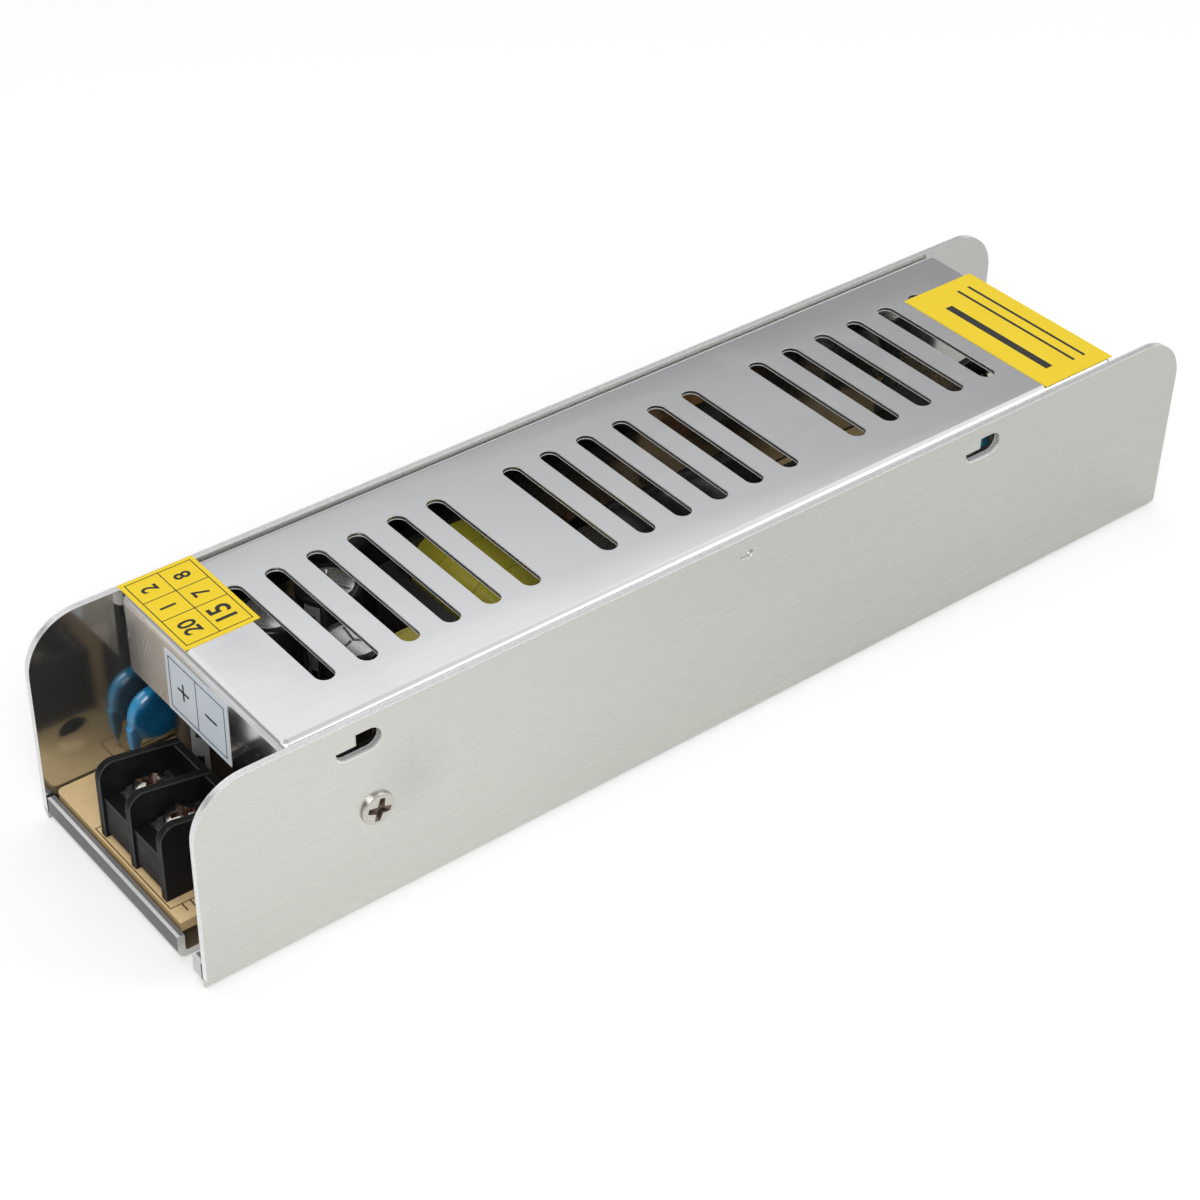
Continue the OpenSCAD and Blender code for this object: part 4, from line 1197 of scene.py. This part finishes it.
def add_figure(shape, text, centre, height, turn=0.0, squeeze=1.0, bold=0.0):
    """Plain figures from Blender's own font, laid flat round a centre."""
    curve = bpy.data.curves.new("figure", "FONT")
    curve.body = text
    curve.size = height * 1.4
    curve.offset = bold * height
    curve.align_x = "CENTER"
    curve.align_y = "CENTER"
    mesh = worked_out(in_scene("figure", curve))
    turned = Matrix.Rotation(turn, 4, "Z") @ Matrix.Scale(squeeze, 4, (1, 0, 0))
    mesh.transform(Matrix.Translation((*centre, 0)) @ turned)
    shape.from_mesh(mesh)


def print_piece(name, shape, ink, place):
    """A print as a piece of its own, lying on what carries it."""
    mesh = to_mesh(shape, name)
    return add_piece(name, mesh, "root", [ink], (), place)


def date_label_print():
    """A ruled grid with plain figures."""
    lo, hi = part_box("date_label")
    w, h = hi.x - lo.x, hi.y - lo.y
    shape = bmesh.new()
    edge, line = 0.75 * MM, 0.16 * MM
    left, right, low, high = edge, w - edge, edge, h - edge
    rows = [low, low + 6.6 * MM, low + 11.6 * MM, high]
    add_frame(shape, (left, low), (right, high), line)
    add_strip(shape, (w / 2, low), (w / 2, high), line)
    for y in rows[1:3]:
        add_strip(shape, (left, y), (right, y), line)
    middle = [(rows[k] + rows[k + 1]) / 2 for k in range(3)]
    columns = ((left + w / 2) / 2, (right + w / 2) / 2)
    turn = QUARTER
    cells = (("20", 0, 0, 2.7), ("15", 1, 0, 3.4), ("1", 0, 1, 2.5))
    cells += (("7", 1, 1, 2.5), ("2", 0, 2, 2.5), ("8", 1, 2, 2.5))
    for text, column, row, size in cells:
        add_figure(shape, text, (columns[column], middle[row]), size * MM, turn, 0.9, 0.03)
    place = Matrix.Translation((lo.x, lo.y, hi.z + PRINT_LIFT))
    print_piece("date_label_print", shape, BLACK_INK, place)


def cover_label_print():
    """Plain bars where a label of this kind is printed."""
    lo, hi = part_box("cover_label")
    w, h = hi.x - lo.x, hi.y - lo.y
    shape = bmesh.new()
    rows = ((0.30, 1.5, 0.14, 0.80), (0.62, 0.55, 0.10, 0.90), (0.78, 0.55, 0.10, 0.90))
    for share, width, start, end in rows:
        add_strip(shape, (w * share, h * start), (w * share, h * end), width * MM)
    place = Matrix.Translation((lo.x, lo.y, hi.z + PRINT_LIFT))
    print_piece("cover_label_print", shape, BLACK_INK, place)


def terminal_label_print():
    """A box split in two: a plus and a minus."""
    lo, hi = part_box("terminal_label")
    w, h = hi.y - lo.y, hi.z - lo.z
    shape = bmesh.new()
    edge, line = 0.9 * MM, 0.2 * MM
    add_frame(shape, (edge, edge), (w - edge, h - edge), line)
    split = w * 0.49
    add_strip(shape, (split, edge), (split, h - edge), line)
    left, right, middle = (edge + split) / 2, (w - edge + split) / 2, h / 2
    arm, bold = 1.3 * MM, 0.45 * MM
    for x in (left, right):
        add_strip(shape, (x - arm, middle), (x + arm, middle), bold)
    add_strip(shape, (left, middle - arm), (left, middle + arm), bold)
    turn = Matrix(((0, 0, -1, 0), (-1, 0, 0, 0), (0, 1, 0, 0), (0, 0, 0, 1)))
    place = Matrix.Translation((lo.x - PRINT_LIFT, hi.y, lo.z)) @ turn
    print_piece("terminal_label_print", shape, BLACK_INK, place)


def board_print():
    """Outlines of the parts on the board, with short plain marks."""
    shape = bmesh.new()
    line = 0.18 * MM
    for end in ("output", "input"):
        lo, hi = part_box(end + "_block")
        half = (hi.y - lo.y) / 2 + 0.9 * MM
        left = max(lo.x - 0.45 * MM, board_lo.x + 0.4 * MM)
        right = min(hi.x + 0.45 * MM, board_hi.x - 0.4 * MM)
        add_frame(shape, (left, -half), (right, half), line)
    lo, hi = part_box("disc_capacitor")
    add_frame(shape, (lo.x - 0.4 * MM, lo.y - 0.6 * MM), (hi.x + 0.4 * MM, hi.y + 0.2 * MM), line)
    for name in ("film_capacitor", "transformer_core", "bulk_capacitor_sleeve", "choke_core"):
        lo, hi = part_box(name)
        gap = Vector((0.5 * MM, 0.5 * MM, 0))
        add_frame(shape, lo - gap, hi + gap, line)
    for k in range(3):
        x = board_lo.x + (2.2 + 1.3 * k) * MM
        add_strip(shape, (x, board_lo.y + 9.2 * MM), (x, board_lo.y + 10.6 * MM), 0.25 * MM)
    place = Matrix.Translation((0, 0, board_hi.z + 0.012 * MM))
    print_piece("board_print", shape, BROWN_INK, place)


# ---------- capacitors ----------


def solid_centres(name, width):
    """Centres in the plan of a node's separate solids of the given width."""
    shape = shape_of(nodes[name].data)
    left = set(shape.verts)
    found = []
    while left:
        group, queue = [], [left.pop()]
        while queue:
            vert = queue.pop()
            group.append(vert.co.copy())
            for edge in vert.link_edges:
                other = edge.other_vert(vert)
                if other in left:
                    left.remove(other)
                    queue.append(other)
        lo = Vector([min(co[k] for co in group) for k in range(2)])
        hi = Vector([max(co[k] for co in group) for k in range(2)])
        middle = (lo + hi) / 2
        fresh = all((middle - other).length > 1 * MM for other in found)
        if fresh and abs(hi.x - lo.x - width) < 0.05 * MM:
            found.append(middle)
    shape.free()
    return sorted(found, key=lambda c: (round(c.x, 4), c.y))


def can_sleeve(name, diameter, height):
    """A shrunk sleeve: it follows the crimp near the foot and curls over the can's rim."""
    r = diameter / 2
    curl = 1.05 * MM
    sleeve = bmesh.new()
    profile = [(r - 1.6 * MM, 0.02 * MM), (r - 0.3 * MM, 0.02 * MM), (r - 0.05 * MM, 0.12 * MM)]
    profile += [(r, 0.5 * MM), (r, 1.6 * MM), (r - 0.28 * MM, 2.1 * MM)]
    profile += [(r - 0.28 * MM, 2.6 * MM), (r - 0.02 * MM, 3.2 * MM)]
    profile += [(r - 0.02 * MM, height - 0.8 * MM), (r - 0.12 * MM, height - 0.3 * MM)]
    profile += [(r - 0.4 * MM, height - 0.06 * MM), (r - curl, height - 0.02 * MM)]
    profile += [(r - curl - 0.1 * MM, height - 0.12 * MM), (r - curl, height - 0.3 * MM)]
    add_lathe(sleeve, profile, 64)
    return to_mesh(sleeve, name, 60)


def can_top(name, diameter, height, vent_turn):
    """A bare can: its top is pressed with a Y-shaped vent of three tapered grooves."""
    r = diameter / 2 - 0.35 * MM
    level = height - 0.26 * MM
    top = bmesh.new()
    profile = [(0, 1 * MM), (r, 1 * MM), (r, level - 0.4 * MM), (r - 0.15 * MM, level - 0.1 * MM)]
    profile += [(r - 0.5 * MM, level), (r * 0.5, level + 0.02 * MM), (0, level + 0.03 * MM)]
    add_lathe(top, profile, 64)
    turn_out(top)
    mesh = as_mesh(top, name)
    reach, depth = r * 0.74, 0.35 * MM
    for k in range(3):
        cutter = bmesh.new()
        spin = Matrix.Rotation(math.radians(vent_turn + 120 * k), 3, "Z")
        rings = []
        for x, width in ((-0.22 * MM, 0.42 * MM), (reach, 0.30 * MM)):
            ring = [(x, -width, level + 0.2 * MM), (x, width, level + 0.2 * MM)]
            ring += [(x, 0.08 * MM, level - depth), (x, -0.08 * MM, level - depth)]
            rings.append([spin @ Vector(p) for p in ring])
        add_tapered(cutter, rings)
        turn_out(cutter)
        mesh = carved(mesh, as_mesh(cutter, "vent"))
    return to_mesh(shape_of(mesh), name, 25)


def add_curved_bar(shape, radius, middle, half, low, high):
    """A patch on a sleeve: angles round Z and heights give its edges."""
    steps = 6
    rings = []
    for k in range(steps + 1):
        a = middle - half + 2 * half * k / steps
        rings.append([shape.verts.new((*polar(radius, a), z)) for z in (low, high)])
    for before, after in zip(rings, rings[1:]):
        shape.faces.new((before[0], after[0], after[1], before[1]))


def sleeve_print(name, diameter, height, angle):
    """A pale stripe down the sleeve, with minus marks left open in it."""
    shape = bmesh.new()
    r = diameter / 2 + 0.012 * MM
    half = 1.3 * MM / r
    low, high = 3.6 * MM, height - 1 * MM
    for s in (-1, 1):
        add_curved_bar(shape, r, angle + s * half * 0.85, half * 0.15, low, high)
    count = max(3, int((high - low) / (4.2 * MM)))
    step = (high - low) / count
    for k in range(count):
        start = low + k * step
        gap_low, gap_high = start + step * 0.34, start + step * 0.66
        add_curved_bar(shape, r, angle, half * 0.7, start, gap_low)
        add_curved_bar(shape, r, angle, half * 0.7, gap_high, start + step)
        for s in (-1, 1):
            add_curved_bar(shape, r, angle + s * half * 0.55, half * 0.15, gap_low, gap_high)
    for k in range(4):
        level = height * (0.42 + 0.09 * k)
        add_curved_bar(shape, r, angle + math.pi, 0.34 - 0.05 * k, level, level + 0.55 * MM)
    return to_mesh(shape, name)


def capacitor(meshes, sleeve_node, can_node, place):
    """One capacitor in place of its solids, from its sleeve, can and print by name."""
    looks = (("black_sleeve", SLEEVE), ("can_metal", CAN_METAL), ("black_sleeve", WHITE_INK))
    replaced = ([sleeve_node], [can_node], ())
    for (name, mesh), (slot, finish), solids in zip(meshes.items(), looks, replaced):
        add_piece(name, mesh, "root", [finish], solids, place)


def standing_capacitors():
    """The output capacitors: sleeves, cans and prints, each where its solid is."""
    lo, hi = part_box("output_capacitor_sleeves")
    height, width = hi.z - lo.z, 10 * MM
    turns = ((80, 3.9), (35, 2.6), (80, 0.6), (62, 3.6))
    for k, middle in enumerate(solid_centres("output_capacitor_sleeves", width)):
        vent, angle = turns[k % 4]
        place = Matrix.Translation((middle.x, middle.y, lo.z))
        tag = f"output_capacitor_{k + 1}"
        sleeve = can_sleeve(tag + "_sleeve", width, height)
        can = can_top(tag + "_can", width, height, vent)
        marks = sleeve_print(tag + "_print", width, height, angle)
        meshes = {tag + "_sleeve": sleeve, tag + "_can": can, tag + "_print": marks}
        capacitor(meshes, "output_capacitor_sleeves", "output_capacitor_cans", place)


def lying_capacitor():
    """The bulk capacitor lies along the board, its bare end towards the input."""
    lo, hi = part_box("bulk_capacitor_sleeve")
    width, length = hi.y - lo.y, hi.x - lo.x
    centre = Vector((lo.x, (lo.y + hi.y) / 2, (lo.z + hi.z) / 2))
    place = Matrix.Translation(centre) @ Matrix.Rotation(QUARTER, 4, "Y")
    sleeve = can_sleeve("bulk_capacitor_shrunk_sleeve", width, length)
    can = can_top("bulk_capacitor_vented_can", width, length, 30)
    marks = sleeve_print("bulk_capacitor_print", width, length, 2.2)
    meshes = {made.name: made for made in (sleeve, can, marks)}
    capacitor(meshes, "bulk_capacitor_sleeve", "bulk_capacitor_can", place)


# ---------- discs and coils ----------


def dipped_disc(name, node_name, finish, size=1.0, lift=0.0):
    """A lacquered disc on two leads: the lacquer runs down them in drips."""
    lo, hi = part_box(node_name)
    centre = (lo + hi) / 2
    r, thick = (hi.x - lo.x) / 2 * size, hi.y - lo.y
    z = hi.z - (hi.x - lo.x) / 2 + lift
    shape = bmesh.new()
    outline = [(0, thick * 0.46), (r * 0.5, thick * 0.48), (r * 0.78, thick * 0.46)]
    for k in range(9):
        a = QUARTER - math.pi * k / 8
        x = r - thick * 0.40 + thick * 0.40 * math.cos(a)
        outline.append((x, thick * 0.44 * math.sin(a)))
    outline += [(r * 0.78, -thick * 0.46), (r * 0.5, -thick * 0.48), (0, -thick * 0.46)]
    add_lathe(shape, outline, 48)
    bmesh.ops.rotate(shape, verts=shape.verts, matrix=Matrix.Rotation(QUARTER, 3, "X"))
    gap = r * 0.83
    drip = [(0, -r * 0.2), (thick * 0.36, -r * 0.2), (thick * 0.34, -r * 0.75)]
    drip += [(thick * 0.26, -r * 1.15), (0.45 * MM, -r * 1.42)]
    drip += [(0.32 * MM, -r * 1.6), (0, -r * 1.6)]
    for s in (-1, 1):
        before = set(shape.verts)
        add_lathe(shape, drip, 16)
        bmesh.ops.translate(shape, verts=since(shape, before), vec=(s * gap, 0, 0))
    turn_out(shape)
    holder = in_scene("dip", as_mesh(shape, name))
    remesh = holder.modifiers.new("Merge", "REMESH")
    remesh.mode = "VOXEL"
    remesh.voxel_size = 0.22 * MM
    remesh.use_smooth_shade = True
    soft = holder.modifiers.new("Soften", "SMOOTH")
    soft.iterations = 8
    merged = worked_out(holder)
    lead = shape_of(merged)
    for face in lead.faces:
        face.smooth = True
    for s in (-1, 1):
        before = set(lead.verts)
        add_lathe(lead, [(0.3 * MM, -r * 1.2), (0.3 * MM, lo.z - z)], 12)
        fresh = since(lead, before)
        bmesh.ops.translate(lead, verts=fresh, vec=(s * gap, 0, 0))
        for v in fresh:
            for face in v.link_faces:
                face.material_index = 1
                face.smooth = True
    lead.to_mesh(merged)
    lead.free()
    place = Matrix.Translation((centre.x, centre.y, z))
    add_piece(name, merged, "root", [finish, PLATED_CONTACT], [node_name], place)


def wound_wire(name, centre, half_x, half_z, length, wire_d, turns):
    """Wire wound in turns round a bar that runs along Y."""
    curve = bpy.data.curves.new(name, "CURVE")
    curve.dimensions = "3D"
    curve.bevel_depth = wire_d / 2
    curve.bevel_resolution = 3
    curve.resolution_u = 3
    spline = curve.splines.new("NURBS")
    steps, squareness = 12, 0.75
    count = turns * steps + 1
    spline.points.add(count - 1)
    for k in range(count):
        a = 2 * math.pi * k / steps
        c, s = math.cos(a), math.sin(a)
        x = half_x * math.copysign(abs(c) ** squareness, c)
        z = half_z * math.copysign(abs(s) ** squareness, s)
        y = -length / 2 + length * k / (count - 1)
        spline.points[k].co = (centre.x + x, centre.y + y, centre.z + z, 1)
    spline.order_u = 4
    spline.use_endpoint_u = True
    return worked_out(in_scene(name, curve))


def choke_coils():
    """A coil on each leg of the choke's core, joined as one mesh."""
    lo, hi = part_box("choke_winding")
    core_lo, core_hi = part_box("choke_core")
    joined = bmesh.new()
    wire = 0.95 * MM
    half_z = (hi.z - lo.z) / 2 - wire / 2
    leg = 4 * MM
    half_x = leg / 2 + 0.9 * MM
    for x in (core_lo.x + leg / 2, core_hi.x - leg / 2):
        centre = Vector((x, (lo.y + hi.y) / 2, (lo.z + hi.z) / 2))
        length = hi.y - lo.y - wire
        turns = int(length / wire)
        joined.from_mesh(wound_wire("coil", centre, half_x, half_z, length, wire, turns))
    made = as_mesh(joined, "choke_winding_turns")
    for polygon in made.polygons:
        polygon.use_smooth = True
    add_piece(made.name, made, "root", [WIRE], ["choke_winding"])


# ---------- room, light and camera ----------


def floor():
    """White paper: bright to the eye, with a glowing pool painted under the output end, which only
    reflections see.
    """
    mesh = bpy.data.meshes.new("floor")
    half = 4.0
    corners = [(-half, -half, 0), (half, -half, 0), (half, half, 0), (-half, half, 0)]
    mesh.from_pydata(corners, [], [(0, 1, 2, 3)])
    made = in_scene("floor", mesh)
    made.location.z = -0.02 * MM
    material = bpy.data.materials.new("floor_white")
    material.use_nodes = True
    tree = material.node_tree
    tree.nodes.clear()
    seen = node(tree, "LightPath").outputs
    paper = node(tree, "BsdfDiffuse", {"Color": (0.86, 0.86, 0.86)}).outputs[0]
    direct = either(seen["Is Camera Ray"], seen["Is Transmission Ray"])
    looks = either(direct, seen["Is Glossy Ray"])
    place = node(tree, "TexCoord").outputs["Object"]
    away = distance(place, Vector((-0.078, -0.048, 0)))
    # painted light: the floor glows more in a pool near the output end, seen in the walls'
    # reflections
    painted_light_pool = spread(away, 0.02, 0.11, 0.26, 0.06)
    strength = either(both(direct, 0.26), painted_light_pool)
    glow = node(tree, "Emission", {"Color": (1, 1, 1), "Strength": strength}).outputs[0]
    lit = node(tree, "AddShader", {0: paper, 1: glow}).outputs[0]
    out = node(tree, "OutputMaterial")
    mixed = node(tree, "MixShader", {0: looks, 1: paper, 2: lit})
    tree.links.new(mixed.outputs[0], out.inputs["Surface"])
    mesh.materials.append(material)


def room_light():
    """A white room with a bright ceiling band for the metal to mirror, and three lamps."""
    world = bpy.data.worlds.new("studio")
    bpy.context.scene.world = world
    world.use_nodes = True
    tree = world.node_tree
    tree.nodes.clear()
    seen = node(tree, "LightPath").outputs
    looks = either(seen["Is Camera Ray"], seen["Is Transmission Ray"])
    height = parts_of(node(tree, "TexCoord").outputs["Generated"])["Z"]
    stops = ((0.0, 0.92), (0.15, 0.85), (0.33, 0.38), (0.5, 0.29), (0.54, 0.42), (0.58, 0.52))
    stops += ((0.6, 0.70), (0.622, 1.0), (0.8, 0.95), (1.0, 0.5))
    sky = ramp(height, stops)
    soft = node(tree, "Background", {"Color": (1, 1, 1), "Strength": 0.42}).outputs[0]
    gloss = node(tree, "Background", {"Color": sky, "Strength": 1.0}).outputs[0]
    white = node(tree, "Background", {"Color": (1, 1, 1), "Strength": 1.0}).outputs[0]
    first = node(tree, "MixShader", {0: seen["Is Glossy Ray"], 1: soft, 2: gloss}).outputs[0]
    second = node(tree, "MixShader", {0: looks, 1: first, 2: white}).outputs[0]
    out = node(tree, "OutputWorld")
    tree.links.new(second, out.inputs["Surface"])
    lamps = (
        ("key", (-0.55, -0.75, 0.9), 0.7, 6.0),
        ("fill", (0.7, -0.6, 0.6), 0.8, 2.0),
        ("top", (-0.1, 0.35, 1.1), 0.9, 3.0),
    )
    for name, at, size, power in lamps:
        lamp = bpy.data.lights.new(name, "AREA")
        lamp.shape = "DISK"
        lamp.size = size
        lamp.energy = power
        holder = in_scene(name, lamp)
        holder.location = at
        holder.rotation_mode = "QUATERNION"
        holder.rotation_quaternion = (-Vector(at)).to_track_quat("-Z", "Y")
        holder.visible_glossy = name != "top"


def camera():
    """Looks at the output end from above, with the whole case in view."""
    azimuth, elevation, roll = math.radians(-39.48), math.radians(37.582), math.radians(1.552)
    target = Vector((-4.695, 5.605, 8.213)) * MM
    back = Vector((
        math.sin(azimuth) * math.cos(elevation),
        -math.cos(azimuth) * math.cos(elevation),
        math.sin(elevation),
    ))
    right = Vector((math.cos(azimuth), math.sin(azimuth), 0))
    up = back.cross(right)
    level = Matrix((right, up, back)).transposed()
    data = bpy.data.cameras.new("camera")
    data.sensor_width = 36
    data.lens = 78.66
    data.clip_start = 0.01
    made = in_scene("camera", data)
    tilt = Matrix.Rotation(roll, 3, "Z")
    made.matrix_world = Matrix.Translation(target + back * 414.574 * MM) @ (level @ tilt).to_4x4()
    bpy.context.scene.camera = made


# ---------- the whole ----------

dress_nodes()
pressed_cover()
for end, poles in POLES.items():
    barrier_block(end, poles)
    contact_plates(end, poles)
terminal_screws()
wall_screw()
dipped_disc("disc_capacitor_dipped", "disc_capacitor", BLUE, 0.88)
dipped_disc("varistor_dipped", "varistor", LIT_BLUE, 1.0, 5.5 * MM)
dipped_disc("thermistor_dipped", "thermistor", GREEN_COATING)
choke_coils()
standing_capacitors()
lying_capacitor()
date_label_print()
cover_label_print()
terminal_label_print()
board_print()
floor()
room_light()
camera()

view = bpy.context.scene.view_settings
view.view_transform = "Standard"
